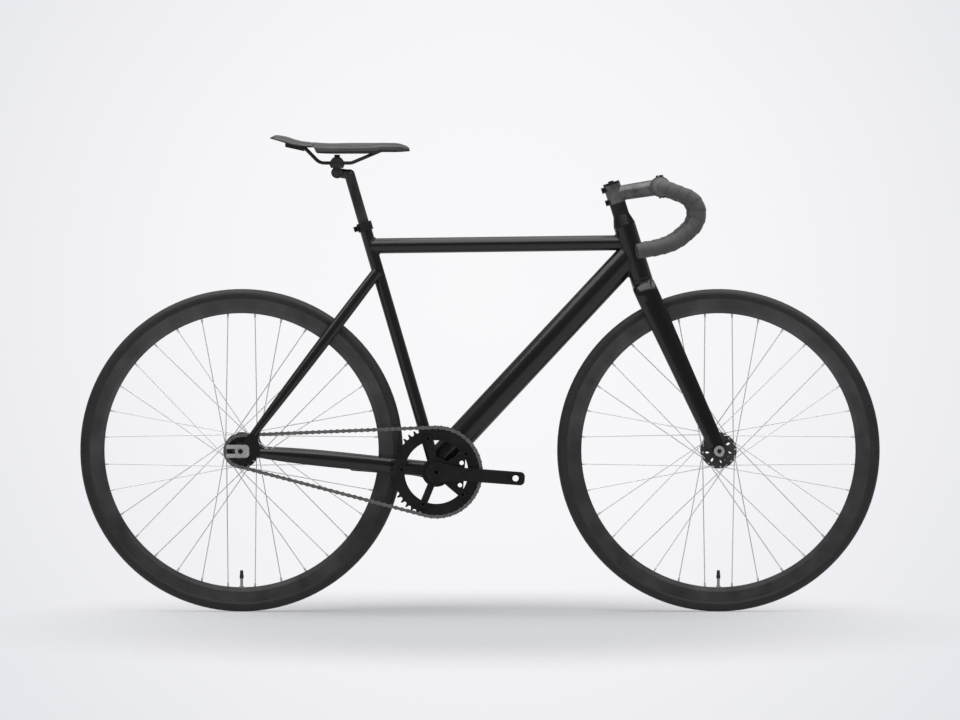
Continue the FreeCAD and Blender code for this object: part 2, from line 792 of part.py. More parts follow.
cover_base = head_top + size("clear_gap")
node(turned("HeadsetCover", [[
    (steerer_hole, "-headset_bearing_height"),
    (sleeve, "-headset_bearing_height"),
    (sleeve, "0"),
    ("head_tube_diameter / 2", "0"),
    ("head_tube_diameter / 2", "headset_cover_height / 8"),
    ("headset_cover_top / 2", "headset_cover_height"),
    (steerer_hole, "headset_cover_height"),
]], place(steer_point(cover_base), steer_up)), "headset_cover")

spacer_base = cover_base + size("headset_cover_height")
spacers = []
for index in range(int(size("headset_spacers"))):
    base = steer_point(spacer_base + index * size("headset_spacer_height"))
    spacers.append(pipe("Spacer", "headset_spacer_diameter", "steerer_diameter + 2 * running_fit",
                        "headset_spacer_height", base, steer_up))
node(group("Spacers", *spacers), "headset_spacers")

# Fork: steerer with its crown race, crown, and two straight blades ending in slotted tips
stem_base = spacer_base + size("headset_spacers * headset_spacer_height")
stem_top = stem_base + size("stem_clamp_height")
steerer_base = size("axle_to_crown - crown_boss_height")
steerer_length = stem_top - size("overrun") - steerer_base
steerer = pipe("Steerer", "steerer_diameter", "steerer_diameter - 2 * steerer_wall", steerer_length,
               steer_point(steerer_base), steer_up)
node(group("SteererGroup", steerer, crown_race), "fork_steerer")

blade_head = steer_point(size("axle_to_crown - crown_bridge_drop"))
blade_down = (front_axle - blade_head).normalize()
blade_ahead = Vec(-blade_down.z, 0, blade_down.x)
blade_reach = (front_axle - blade_head).Length
leg_ends = {}
shoulders = {}
for side, out in SIDES:
    shoulders[side] = blade_head + out * size("fork_spread")
    leg_ends[side] = shoulders[side] + blade_down * size("crown_leg")
shoulder_radius = size("crown_shoulder_radius")
crown_path = rounded_path([leg_ends["right"], shoulders["right"], shoulders["left"], leg_ends["left"]],
                          [shoulder_radius, shoulder_radius])
crown_bar = oval_bar("CrownBar", "fork_blade_depth", "fork_leg_width", blade_ahead, crown_path)
crown_boss = cylinder("CrownBoss", "head_tube_diameter", "crown_boss_height",
                      steer_point(size("axle_to_crown - crown_boss_height")), steer_up)
crown_bore = cylinder("CrownBore", "steerer_diameter + 2 * running_fit", "crown_boss_height + overrun",
                      steer_point(size("axle_to_crown - crown_boss_height")), steer_up)
node(cut("Crown", fuse("CrownBlank", crown_bar, crown_boss), crown_bore), "fork_crown")

tip_centre = size("front_locknut_width / 2 + fork_tip_thickness / 2")
blade_end = blade_reach - size("fork_tip_radius")
for side, out in SIDES:
    start = leg_ends[side]
    end = blade_head + blade_down * blade_end + out * tip_centre
    middle = (start + end) / 2
    _, blade = oval_tube("BladePipe" + side.title(), [
        (start, blade_down, "fork_blade_depth", "fork_leg_width"),
        (middle, blade_down, "(fork_blade_depth + fork_tip_depth) / 2", "(fork_leg_width + fork_tip_width) / 2"),
        (end, blade_down, "fork_tip_depth", "fork_tip_width"),
    ], blade_ahead, "stay_wall")
    eye_centre = front_axle + out * tip_centre
    eye = cylinder("TipEye", "2 * fork_tip_radius", "fork_tip_thickness", eye_centre, LEFT, centred=True)
    tongue = block("TipTongue", ("fork_tip_radius * 2", "fork_tip_thickness", "fork_tip_height"),
                   eye_centre - blade_down * size("fork_tip_height / 2"), blade_down, blade_ahead)
    mouth_width = "front_axle_diameter + 2 * seat_gap"
    mouth = block("TipMouth", (mouth_width, "fork_tip_thickness * 2", "fork_tip_radius * 2"),
                  eye_centre + blade_down * size("fork_tip_radius"), blade_down, blade_ahead)
    hole = cylinder("TipHole", mouth_width, "fork_tip_thickness * 2", eye_centre, LEFT, centred=True)
    tip = cut("Tip", fuse("TipBlank", eye, tongue), mouth, hole)
    node(fuse("Blade" + side.title(), blade, tip), "fork_blade_" + side)

# Stem: clamp on the steerer, neck, and a bar clamp closed by the faceplate
stem_middle = steer_point(stem_base + size("stem_clamp_height / 2"))
stem_lean = math.radians(size("stem_rise"))
stem_ahead = Vec(math.cos(stem_lean), 0, math.sin(stem_lean))
stem_normal = Vec(-stem_ahead.z, 0, stem_ahead.x)
bar_centre = stem_middle + stem_ahead * size("stem_length")
bar_shell = "bar_clamp_diameter + 2 * bar_clamp_wall"
ear_height = f"({bar_shell}) + bar_clamp_wall"
stem_post = cylinder("StemPost", "stem_clamp_diameter", "stem_clamp_height", steer_point(stem_base), steer_up)
neck_skin, _ = oval_tube("StemNeck", [
    (stem_middle, stem_ahead, "stem_neck_height", "stem_neck_height"),
    (bar_centre, stem_ahead, "stem_neck_width", "stem_neck_height"),
], stem_normal, "tube_wall_thickness")
bar_ring = cylinder("BarRing", bar_shell, "bar_clamp_width", bar_centre, LEFT, centred=True)
bar_ears = block("BarEars", ("2 * bar_clamp_wall", "bar_clamp_width", ear_height), bar_centre,
                 stem_normal, stem_ahead)
bar_hole = cylinder("BarHole", "bar_clamp_diameter + 2 * running_fit", "bar_clamp_width + overrun",
                    bar_centre, LEFT, centred=True)
steerer_bore = cylinder("StemBore", "steerer_diameter + 2 * running_fit", "stem_clamp_height + overrun",
                        stem_middle, steer_up, centred=True)
split_depth = f"({bar_shell})"
split_shift = size(f"({bar_shell}) / 2 - faceplate_gap / 2")
ahead_half = block("AheadOfSplit", (split_depth, "bar_clamp_width + overrun", f"{ear_height} + overrun"),
                   bar_centre + stem_ahead * split_shift, stem_normal, stem_ahead)
behind_half = block("BehindSplit", (split_depth, "bar_clamp_width + overrun", f"{ear_height} + overrun"),
                    bar_centre - stem_ahead * split_shift, stem_normal, stem_ahead)
pinch_slit = block("PinchSlit", ("stem_clamp_diameter", "faceplate_gap", "stem_clamp_height + overrun"),
                   stem_middle - steer_ahead * size("stem_clamp_diameter / 2"), steer_up, steer_ahead)


def socket_bolt(name, head_spot, axis, length):
    """Socket head bolt with its head's underside on the spot, its shank along the axis."""
    shank = cylinder(name + "Shank", "stem_bolt_diameter", length, head_spot, axis)
    head = cylinder(name + "Head", "stem_bolt_head", "stem_bolt_head_height", head_spot, axis * -1)
    hole = cylinder(name + "Hole", "stem_bolt_diameter + 2 * seat_gap", length, head_spot, axis)
    recess = cylinder(name + "Recess", "stem_bolt_head + 2 * seat_gap", "bar_clamp_diameter", head_spot, axis * -1)
    return fuse(name, shank, head), fuse(name + "Drill", hole, recess)


stem_bolts = []
stem_holes = []
stem_lugs = []
for rise in (-1, 1):
    for out in (RIGHT, LEFT):
        spot = (bar_centre + stem_ahead * size("bar_clamp_wall") + out * size("stem_bolt_spread / 2")
                + stem_normal * (rise * size("stem_bolt_rise")))
        bolt, hole = socket_bolt("ClampBolt", spot, stem_ahead * -1, "2 * bar_clamp_wall")
        stem_bolts.append(bolt)
        stem_holes.append(hole)
    lug_centre = (stem_middle - steer_ahead * size("stem_clamp_diameter / 2")
                  + steer_up * (rise * size("stem_lug_spacing / 2")))
    stem_lugs.append(block("StemLug", ("stem_lug_depth", "stem_clamp_diameter / 2", "stem_lug_height"),
                           lug_centre, steer_up, steer_ahead))
    spot = (lug_centre - steer_ahead * size("stem_lug_depth / 8") + RIGHT * size("stem_clamp_diameter / 4"))
    bolt, hole = socket_bolt("PinchBolt", spot, LEFT, "stem_clamp_diameter / 2")
    stem_bolts.append(bolt)
    stem_holes.append(hole)
all_holes = group("StemHoles", *stem_holes)
stem_blank = fuse("StemBlank", stem_post, neck_skin, bar_ring, bar_ears, *stem_lugs)
node(cut("Stem", stem_blank, ahead_half, bar_hole, steerer_bore, pinch_slit, all_holes), "stem")
faceplate_blank = fuse("FaceplateBlank", bar_ring, bar_ears)
node(cut("Faceplate", faceplate_blank, behind_half, bar_hole, all_holes), "stem_faceplate")
node(group("StemBolts", *stem_bolts), "stem_bolts")

# Top cap, with the bolt that draws it down on the star nut inside the steerer
cap_bolt_hole = cylinder("CapHole", "top_cap_bolt_diameter + 2 * seat_gap", "top_cap_height",
                         steer_point(stem_top), steer_up)
cap_disc = cylinder("CapDisc", "top_cap_diameter", "top_cap_height", steer_point(stem_top), steer_up)
cap_top = steer_point(stem_top + size("top_cap_height"))
cap_shank = cylinder("CapShank", "top_cap_bolt_diameter", "top_cap_bolt_length + top_cap_height",
                     cap_top, steer_up * -1)
cap_head = cylinder("CapHead", "2 * top_cap_bolt_diameter", "top_cap_bolt_diameter / 2", cap_top, steer_up)
star_nut = pipe("StarNut", "steerer_diameter - 2 * steerer_wall - 2 * running_fit",
                "top_cap_bolt_diameter + 2 * running_fit", "top_cap_bolt_diameter",
                steer_point(stem_top - size("top_cap_bolt_length")), steer_up)
node(group("TopCap", cut("Cap", cap_disc, cap_bolt_hole), fuse("CapBolt", cap_shank, cap_head), star_nut),
     "headset_top_cap")

# Handlebar: a drop bar with a bulged clamp area, wrapped in tape and closed by end plugs
bend_radii = [size(f"handlebar_{bend}_radius") for bend in ("shoulder", "front", "hook", "sweep", "tail")]


def bar_corners(out):
    """Corners of one half of the bar, from the clamp to the end of the drop."""
    shoulder = bar_centre + out * size("handlebar_width / 2")
    front = shoulder + Vec(size("handlebar_reach"), 0, -size("handlebar_ramp_drop"))
    hook = front + Vec(-size("handlebar_hook_back"), 0, -size("handlebar_hook_drop"))
    sweep = hook + Vec(-size("handlebar_sweep_back"), 0, -size("handlebar_sweep_drop"))
    tail = sweep + Vec(-size("handlebar_tail_back"), 0, -size("handlebar_tail_drop"))
    end = tail + Vec(-size("handlebar_end_back"), 0, -size("handlebar_end_drop"))
    return [shoulder, front, hook, sweep, tail, end]


bar_path = rounded_path(bar_corners(RIGHT)[::-1] + bar_corners(LEFT), bend_radii[::-1] + bend_radii)
bulge_end = "handlebar_bulge + handlebar_taper"
bulge = turned("Bulge", [both_sides([
    ("handlebar_diameter / 2 - handlebar_wall / 2", bulge_end),
    ("handlebar_diameter / 2", bulge_end),
    ("bar_clamp_diameter / 2", "handlebar_bulge"),
])], place(bar_centre, LEFT))
bar_skin = swept("BarSkin", "handlebar_diameter", bar_path)
bar_bore = swept("BarBore", "handlebar_diameter - 2 * handlebar_wall", bar_path)
node(fuse("Handlebar", cut("BarTube", bar_skin, bar_bore), bulge), "handlebar")

plug_radius = "(handlebar_diameter / 2 + tape_thickness)"
plug_dome_shares = ((1.0, 0.35), (0.88, 0.68), (0.6, 0.92), (0.0, 1.0))
wraps = []
plugs = []
for side, out in SIDES:
    corners = bar_corners(out)
    wrap_path = rounded_path([bar_centre + out * size(bulge_end)] + corners, bend_radii)
    wrap_skin = swept("WrapSkin", "handlebar_diameter + 2 * tape_thickness", wrap_path)
    wrap_bore = swept("WrapBore", "handlebar_diameter + 2 * seat_gap", wrap_path)
    sleeve_wrap = turned("SleeveWrap" + side.title(), [[
        ("bar_clamp_diameter / 2 + seat_gap", "tape_start"),
        ("bar_clamp_diameter / 2 + tape_thickness", "tape_start"),
        ("bar_clamp_diameter / 2 + tape_thickness", "handlebar_bulge"),
        ("handlebar_diameter / 2 + tape_thickness", bulge_end),
        ("handlebar_diameter / 2 + seat_gap", bulge_end),
        ("bar_clamp_diameter / 2 + seat_gap", "handlebar_bulge"),
    ]], place(bar_centre, out))
    wraps.append(fuse("WrapWhole", cut("Wrap", wrap_skin, wrap_bore), sleeve_wrap))
    plug_axis = (corners[-1] - corners[-2]).normalize()
    plugs.append(turned("Plug" + side.title(), [[
        ("0", "-plug_depth"),
        ("handlebar_diameter / 2 - handlebar_wall - running_fit", "-plug_depth"),
        ("handlebar_diameter / 2 - handlebar_wall - running_fit", "0"),
        (plug_radius, "0"),
    ] + [(f"{plug_radius} * {radius}", f"plug_dome * {height}") for radius, height in plug_dome_shares]],
        place(corners[-1], plug_axis)))
node(group("BarTape", *wraps), "bar_tape")
node(group("Plugs", *plugs), "bar_end_plugs")

# Wheels: tyre, inner tube with valve, rim, spokes with nipples, hub shell and hub bearings
casing_circle = "(tyre_diameter - tyre_section) / 2"
bead_radius = "bead_seat_diameter / 2"
flange_radius = "(bead_seat_diameter / 2 + rim_flange_height)"
rim_inner_radius = "(bead_seat_diameter / 2 + rim_flange_height - rim_depth)"
bed_half = "(rim_width / 2 - rim_flange_width)"
bead_half = f"({bed_half} - seat_gap)"


def torus(name, section, placement):
    """Ring of round section on the tyre's own circle."""
    ring = doc.addObject("Part::Torus", name)
    bind(ring, Radius1=casing_circle, Radius2=section)
    ring.Placement = placement
    return ring


def tyre(name, centre, placement):
    """Clincher tyre, open inside between its two beads."""
    casing = torus(name + "Casing", "tyre_section / 2", placement)
    air = torus(name + "Air", "tyre_section / 2 - tyre_wall", placement)
    bead_foot = f"2 * ({bead_radius} + seat_gap)"
    beads = pipe(name + "Beads", f"2 * {flange_radius}", bead_foot, f"2 * {bead_half}", centre, LEFT, centred=True)
    channel = cylinder(name + "Channel", f"2 * {casing_circle}", f"2 * ({bead_half} - bead_width)", centre, LEFT,
                       centred=True)
    seat = cylinder(name + "Seat", f"2 * ({flange_radius} + seat_gap)", "2 * rim_width", centre, LEFT, centred=True)
    between = cylinder(name + "Between", f"2 * {casing_circle}", f"2 * {bead_half}", centre, LEFT, centred=True)
    flanges = cut(name + "Flanges", seat, between)
    return cut(name, fuse(name + "Blank", casing, beads), air, channel, flanges)


def inner_tube(name, centre, placement):
    """Inner tube with a long valve that points at the hub."""
    section = "tyre_section / 2 - tyre_wall - seat_gap"
    skin = torus(name + "Skin", section, placement)
    air = torus(name + "Air", f"{section} - tube_wall", placement)
    foot = size(f"{casing_circle} - ({section}) + tube_wall / 2")
    valve = cylinder(name + "Valve", "valve_diameter", "valve_length", centre - UP * foot, UP)
    return fuse(name, cut(name + "Ring", skin, air), valve)


def radial_hole(body, name, diameter, depth, turn):
    """Hole drilled outwards from the wheel's axis."""
    sketch = body.newObject("Sketcher::SketchObject", name + "Circle")
    plane = next(item for item in body.Origin.OriginFeatures if item.Role == "YZ_Plane")
    sketch.AttachmentSupport = [(plane, "")]
    sketch.MapMode = "FlatFace"
    sketch.AttachmentOffset = FreeCAD.Placement(Vec(), FreeCAD.Rotation(UP.cross(FORWARD), turn))
    sketch.addGeometry(Part.Circle(Vec(), UP, size(diameter) / 2))
    sketch.addConstraint(Sketcher.Constraint("Coincident", 0, 3, -1, 1))
    tie = sketch.addConstraint(Sketcher.Constraint("Radius", 0, size(diameter) / 2))
    sketch.setExpression(f"Constraints[{tie}]", bound(f"{diameter} / 2"))
    hole = body.newObject("PartDesign::Pocket", name)
    hole.Profile = sketch
    hole.Reversed = True
    bind(hole, Length=depth)
    body.Tip = hole
    doc.recompute()
    return sketch, hole


def polar(body, name, feature, axis, count):
    """The same feature all the way round."""
    pattern = body.newObject("PartDesign::PolarPattern", name)
    pattern.Originals = [feature]
    pattern.Axis = axis
    pattern.Angle = 360
    bind(pattern, Occurrences=count)
    body.Tip = pattern
    doc.recompute()
    return pattern


def rim(name, placement):
    """Deep hollow rim, drilled for the valve and for each nipple."""
    shoulder = f"{flange_radius} - rim_shoulder_depth"
    well = f"{bead_radius} - rim_well_depth"
    wall_half = "rim_shoulder_width / 2 - rim_wall"
    roof_half = f"{bed_half} - rim_wall / 2"
    section = both_sides([
        (well, "rim_well_width / 2"),
        (bead_radius, "rim_well_width / 2 + rim_well_depth"),
        (bead_radius, bed_half),
        (flange_radius, bed_half),
        (flange_radius, "rim_width / 2"),
        (shoulder, "rim_shoulder_width / 2"),
        (rim_inner_radius, "rim_nose_width / 2"),
    ])
    hollow = both_sides([
        (f"{well} - rim_wall", roof_half),
        (shoulder, wall_half),
        (f"{rim_inner_radius} + rim_wall", "rim_nose_width / 2 - rim_wall / 2"),
    ])
    body = turned(name, [section, hollow], placement)
    doc.recompute()
    radial_hole(body, name + "ValveHole", "valve_diameter + 2 * seat_gap", f"{bead_radius} + overrun", 0)
    half_step = size("180 / spoke_count")
    sketch, hole = radial_hole(body, name + "NippleHole", "nipple_hole_diameter",
                               f"{rim_inner_radius} + rim_depth / 4", half_step)
    polar(body, name + "NippleHoles", hole, (sketch, ["V_Axis"]), "spoke_count")
    return body


def flange_hole(body, name, diameter, circle, turn, depth, upwards):
    """Hole drilled along the axis from the hub's middle, out through one flange."""
    sketch = body.newObject("Sketcher::SketchObject", name + "Circle")
    plane = next(item for item in body.Origin.OriginFeatures if item.Role == "XY_Plane")
    sketch.AttachmentSupport = [(plane, "")]
    sketch.MapMode = "FlatFace"
    sketch.AttachmentOffset = FreeCAD.Placement(Vec(), FreeCAD.Rotation(UP, turn))
    sketch.addGeometry(Part.Circle(Vec(size(circle) / 2, 0, 0), UP, size(diameter) / 2))
    for kind, formula in (("DistanceX", f"{circle} / 2"), ("DistanceY", "0")):
        tie = sketch.addConstraint(Sketcher.Constraint(kind, -1, 1, 0, 3, size(formula)))
        sketch.setExpression(f"Constraints[{tie}]", bound(formula))
    tie = sketch.addConstraint(Sketcher.Constraint("Radius", 0, size(diameter) / 2))
    sketch.setExpression(f"Constraints[{tie}]", bound(f"{diameter} / 2"))
    hole = body.newObject("PartDesign::Pocket", name)
    hole.Profile = sketch
    hole.Reversed = upwards
    bind(hole, Length=depth)
    body.Tip = hole
    doc.recompute()
    return sketch, hole


def hub_shell(name, offset, end, end_diameter, placement):
    """High flange hub with round windows and a row of spoke holes in each flange."""
    seat = "hub_bearing_diameter / 2 + running_fit"
    shoulder = f"{end} - hub_bearing_width"
    inner_face = f"{offset} - hub_flange_thickness / 2"
    outer_face = f"{offset} + hub_flange_thickness / 2"
    body = turned(name, [both_sides([
        ("hub_bore_diameter / 2", shoulder),
        (seat, shoulder),
        (seat, end),
        (f"{end_diameter} / 2", end),
        (f"{end_diameter} / 2", outer_face),
        ("hub_flange_diameter / 2", outer_face),
        ("hub_flange_diameter / 2", inner_face),
        ("hub_barrel_diameter / 2", inner_face),
    ])], placement)
    doc.recompute()
    step = size("360 / spoke_count")
    for upwards in (True, False):
        tag = name + ("Left" if upwards else "Right")
        sketch, hole = flange_hole(body, tag + "SpokeHole", "spoke_hole_diameter", "spoke_hole_circle",
                                   step / 2 if upwards else step * 1.5, end, upwards)
        polar(body, tag + "SpokeHoles", hole, (sketch, ["N_Axis"]), "spoke_count / 2")
        window_turn = size("180 / hub_window_count") if upwards else 0
        sketch, hole = flange_hole(body, tag + "Window", "hub_window_diameter", "hub_window_circle",
                                   window_turn, end, upwards)
        polar(body, tag + "Windows", hole, (sketch, ["N_Axis"]), "hub_window_count")
    return body


def spoke_and_nipple(offset, upwards, outboard):
    """One spoke, hooked through the flange, and the nipple that holds it in the rim."""
    step = size("720 / spoke_count")
    lace = size("spoke_crosses * 720 / spoke_count")
    first = step / 4 if upwards else step * 3 / 4
    flange_side = 1 if upwards else -1
    leaves = 1 if outboard else -1
    angle = math.radians(first if outboard else first + step)
    rim_angle = angle + math.radians(lace) * leaves
    half_flange = size("hub_flange_thickness / 2")
    thick = size("spoke_diameter / 2")
    lift = size("hub_flange_thickness / 2 + spoke_diameter / 2 + clear_gap")
    if outboard:
        lift += size("spoke_diameter / 2")
    centre = size(offset) * flange_side
    away = flange_side * leaves
    hole = Vec(math.cos(angle), math.sin(angle), 0) * size("spoke_hole_circle / 2")
    head_spot = hole + UP * (centre - away * (half_flange + size("seat_gap")))
    elbow = hole + UP * (centre + away * lift)
    seat = Vec(math.cos(rim_angle), math.sin(rim_angle), 0) * size(f"{rim_inner_radius} + rim_wall")
    along = (seat - elbow).normalize()
    path = rounded_path([head_spot, elbow, seat - along * size("nipple_head_length / 4")],
                        [size("spoke_bend_radius")])
    ring = Part.Wire(Part.makeCircle(thick, head_spot, elbow - head_spot))
    bar = path.makePipeShell([ring], True, False)
    head = Part.makeCylinder(size("spoke_head_diameter / 2"), size("spoke_head_length"),
                             head_spot, head_spot - elbow)
    bore = thick + size("running_fit")
    foot = seat - along * size("nipple_length - nipple_head_length")
    top = seat + along * size("clear_gap + nipple_head_diameter / 12")
    shank = Part.makeCylinder(size("nipple_diameter / 2"), (top - foot).Length, foot, along)
    cap = Part.makeCylinder(size("nipple_head_diameter / 2"), size("nipple_head_length"), top, along)
    hollow = Part.makeCylinder(bore, size("nipple_length * 2"), foot, along)
    return bar.fuse(head), shank.fuse(cap).cut(hollow)


def spokes(name, offset, placement):
    """All the spokes and nipples of one wheel."""
    solids = []
    turns = int(size("spoke_count / 4"))
    for upwards in (True, False):
        for outboard in (True, False):
            for piece in spoke_and_nipple(offset, upwards, outboard):
                for index in range(turns):
                    copy = piece.copy()
                    copy.rotate(Vec(), UP, 360 * index / turns)
                    solids.extend(copy.Solids)
    laced = doc.addObject("Part::Feature", name)
    laced.Shape = Part.makeCompound(solids)
    laced.Placement = placement
    return laced


def axle(name, diameter, locknut_width, hub_end, outer_length, placement):
    """Solid axle with a cone and locknut each side, which bear on the frame or fork."""
    half = f"{locknut_width} / 2"
    return turned(name, [both_sides([
        ("0", f"{half} + {outer_length}"),
        (f"{diameter} / 2", f"{half} + {outer_length}"),
        (f"{diameter} / 2", half),
        ("locknut_diameter / 2", half),
        ("locknut_diameter / 2", f"{hub_end} + clear_gap"),
        (f"{diameter} / 2", f"{hub_end} + clear_gap"),
    ])], placement)


def axle_nuts(name, diameter, centre, seat):
    """Washer and hexagon nut on each end of an axle."""
    pieces = []
    for side, out in SIDES:
        base = centre + out * seat
        pieces.append(pipe(name + "Washer", "axle_washer_diameter", f"{diameter} + 2 * seat_gap",
                           "axle_washer_thickness", base, out))
        nut_base = base + out * size("axle_washer_thickness")
        nut = doc.addObject("Part::Prism", name + "Hexagon")
        nut.Polygon = 6
        bind(nut, Circumradius="axle_nut_width / sqrt(3)", Height="axle_nut_height")
        nut.Placement = place(nut_base, out, FORWARD)
        bore = cylinder(name + "Bore", f"{diameter} + 2 * seat_gap", "axle_nut_height", nut_base, out)
        pieces.append(cut(name + "Nut", nut, bore))
    return group(name, *pieces)


front_end = "(hub_bearing_diameter + locknut_diameter / 3)"
for wheel, centre, end_diameter in (("front", front_axle, front_end), ("rear", rear_axle, "cog_thread_diameter")):
    spot = place(centre, LEFT, UP * -1)
    name = wheel.title()
    offset = f"{wheel}_flange_offset"
    end = f"{wheel}_hub_end"
    diameter = f"{wheel}_axle_diameter"
    node(tyre(name + "Tyre", centre, spot), wheel + "_tyre")
    node(inner_tube(name + "InnerTube", centre, spot), wheel + "_inner_tube")
    node(rim(name + "Rim", spot), wheel + "_rim")
    node(spokes(name + "Spokes", offset, spot), wheel + "_spokes")
    node(hub_shell(name + "HubShell", offset, end, end_diameter, spot), wheel + "_hub_shell")
    bearings = []
    for side, out in SIDES:
        bearings.append(pipe(name + "Bearing", "hub_bearing_diameter", f"{diameter} + 2 * running_fit",
                             "hub_bearing_width", centre + out * size(f"{end} - hub_bearing_width"), out))
    node(group(name + "Bearings", *bearings), wheel + "_hub_bearings")
    mount = "fork_tip_thickness" if wheel == "front" else "(track_end_thickness + face_plate_thickness)"
    outer = f"{mount} + axle_washer_thickness + axle_nut_height + axle_end_length"
    node(axle(name + "Axle", diameter, f"{wheel}_locknut_width", end, outer, spot), wheel + "_axle")
    node(axle_nuts(name + "AxleNuts", diameter, centre, size(f"{wheel}_locknut_width / 2 + {mount}")),
         wheel + "_axle_nuts")

# Chain drive: chainring and cog cut with the same roller seats, and a chain of whole links
centre_line = (crank_axle - rear_axle).normalize()
centre_normal = Vec(-centre_line.z, 0, centre_line.x)


def sprocket(name, teeth, loops, direction):
    """Turned blank with a roller seat cut between each two teeth."""
    spot = rear_axle if teeth == "cog_teeth" else crank_axle
    body = turned(name, loops, place(spot + RIGHT * size("chain_line - sprocket_thickness / 2"), RIGHT, direction))
    doc.recompute()
    circle = f"chain_pitch / (2 * sin(180 / {teeth}))"
    seat = "(roller_diameter / 2 + tooth_seat_clearance)"
    mouth = f"{circle} + 2 * tooth_height"
    sketch = body.newObject("Sketcher::SketchObject", name + "Gap")
    plane = next(item for item in body.Origin.OriginFeatures if item.Role == "XY_Plane")
    sketch.AttachmentSupport = [(plane, "")]
    sketch.MapMode = "FlatFace"
    middle = Vec(size(circle), 0, 0)
    reach = Vec(0, size(seat), 0)
    corner = Vec(size(mouth), size("tooth_gap_opening / 2"), 0)
    low = Vec(corner.x, -corner.y, 0)
    seat_arc = Part.ArcOfCircle(Part.Circle(middle, UP, reach.y), math.pi / 2, 3 * math.pi / 2)
    sketch.addGeometry(seat_arc)
    sketch.addGeometry(Part.LineSegment(middle - reach, low))
    sketch.addGeometry(Part.LineSegment(low, corner))
    sketch.addGeometry(Part.LineSegment(corner, middle + reach))
    for first, second in ((0, 1), (1, 2), (2, 3), (3, 0)):
        sketch.addConstraint(Sketcher.Constraint("Coincident", first, 2, second, 1))
    ties = [("DistanceX", 0, 3, circle), ("DistanceY", 0, 3, "0"), ("DistanceX", 0, 1, circle),
            ("DistanceX", 0, 2, circle), ("DistanceX", 2, 1, mouth), ("DistanceX", 2, 2, mouth),
            ("DistanceY", 2, 1, "-tooth_gap_opening / 2"), ("DistanceY", 2, 2, "tooth_gap_opening / 2")]
    for kind, edge, end, formula in ties:
        tie = sketch.addConstraint(Sketcher.Constraint(kind, -1, 1, edge, end, size(formula)))
        sketch.setExpression(f"Constraints[{tie}]", bound(formula))
    tie = sketch.addConstraint(Sketcher.Constraint("Radius", 0, size(seat)))
    sketch.setExpression(f"Constraints[{tie}]", bound(seat))
    gap = body.newObject("PartDesign::Pocket", name + "Seat")
    gap.Profile = sketch
    gap.Reversed = True
    bind(gap, Length="sprocket_thickness")
    body.Tip = gap
    doc.recompute()
    polar(body, name + "Teeth", gap, (sketch, ["N_Axis"]), teeth)
    return body


def swing(direction, angle):
    """A direction in the bicycle's plane, turned about the Y axis."""
    return FreeCAD.Rotation(LEFT, math.degrees(angle)).multVec(direction)


ring_tip = "(chain_pitch / (2 * sin(180 / chainring_teeth)) + tooth_height)"
cog_tip = "(chain_pitch / (2 * sin(180 / cog_teeth)) + tooth_height)"
ring_start = swing(centre_line, (ring_wrap % 2) * math.pi / ring_teeth)
cog_start = swing(centre_line * -1, (cog_wrap % 2) * math.pi / cog_teeth)
ring_body = sprocket("RingBlank", "chainring_teeth", [[
    ("chainring_inner_diameter / 2", "0"),
    (ring_tip, "0"),
    (ring_tip, "sprocket_thickness"),
    ("chainring_inner_diameter / 2", "sprocket_thickness"),
]], ring_start)
boss_face = "(cog_boss_width + sprocket_thickness) / 2"
cog_bore = "cog_thread_diameter / 2 + running_fit"
node(sprocket("Cog", "cog_teeth", [[
    (cog_bore, f"sprocket_thickness - {boss_face}"),
    ("cog_boss_diameter / 2", f"sprocket_thickness - {boss_face}"),
    ("cog_boss_diameter / 2", "0"),
    (cog_tip, "0"),
    (cog_tip, "sprocket_thickness"),
    ("cog_boss_diameter / 2", "sprocket_thickness"),
    ("cog_boss_diameter / 2", boss_face),
    (cog_bore, boss_face),
]], cog_start), "cog")
node(pipe("Lockring", "lockring_diameter", "cog_thread_diameter + 2 * running_fit", "lockring_width",
          rear_axle + RIGHT * size("chain_line + cog_boss_width / 2"), RIGHT), "cog_lockring")


def chain_points():
    """Roller centres all the way round: over the ring, along the lower run, round the cog and back."""
    places = []
    for index in range(ring_wrap + 1):
        angle = ring_half - index * 2 * math.pi / ring_teeth
        places.append((centres + ring_radius * math.cos(angle), ring_radius * math.sin(angle)))
    cog_places = []
    for index in range(cog_wrap + 1):
        angle = index * 2 * math.pi / cog_teeth - cog_half
        cog_places.append((-cog_radius * math.cos(angle), cog_radius * math.sin(angle)))
    upper = places[0]
    for ends in ((places[-1], cog_places[0]), (cog_places[-1], upper)):
        for index in range(1, run_links):
            share = index / run_links
            places.append(tuple(a + (b - a) * share for a, b in zip(*ends)))
        if ends[1] is not upper:
            places.extend(cog_places)
    middle = rear_axle + RIGHT * size("chain_line")
    return [middle + centre_line * along + centre_normal * rise for along, rise in places]


def link_plate(offset):
    """Waisted side plate of one link, its inner face so far from the chain's middle."""
    eye = size("chain_plate_height / 2")
    waist = size("chain_plate_waist / 2")
    half = pitch / 2
    neck_share = 0.62
    neck = Vec(half - eye * neck_share, eye * math.sqrt(1 - neck_share ** 2), 0)
    near = Vec(neck.x, -neck.y, 0)
    far = Vec(-neck.x, -neck.y, 0)
    back = Vec(-neck.x, neck.y, 0)
    edges = [
        Part.Arc(near, Vec(half + eye, 0, 0), neck).toShape(),
        Part.Arc(neck, Vec(0, waist, 0), back).toShape(),
        Part.Arc(back, Vec(-half - eye, 0, 0), far).toShape(),
        Part.Arc(far, Vec(0, -waist, 0), near).toShape(),
    ]
    solid = Part.Face(Part.Wire(edges)).extrude(UP * size("chain_plate_thickness"))
    solid.translate(UP * offset)
    return solid


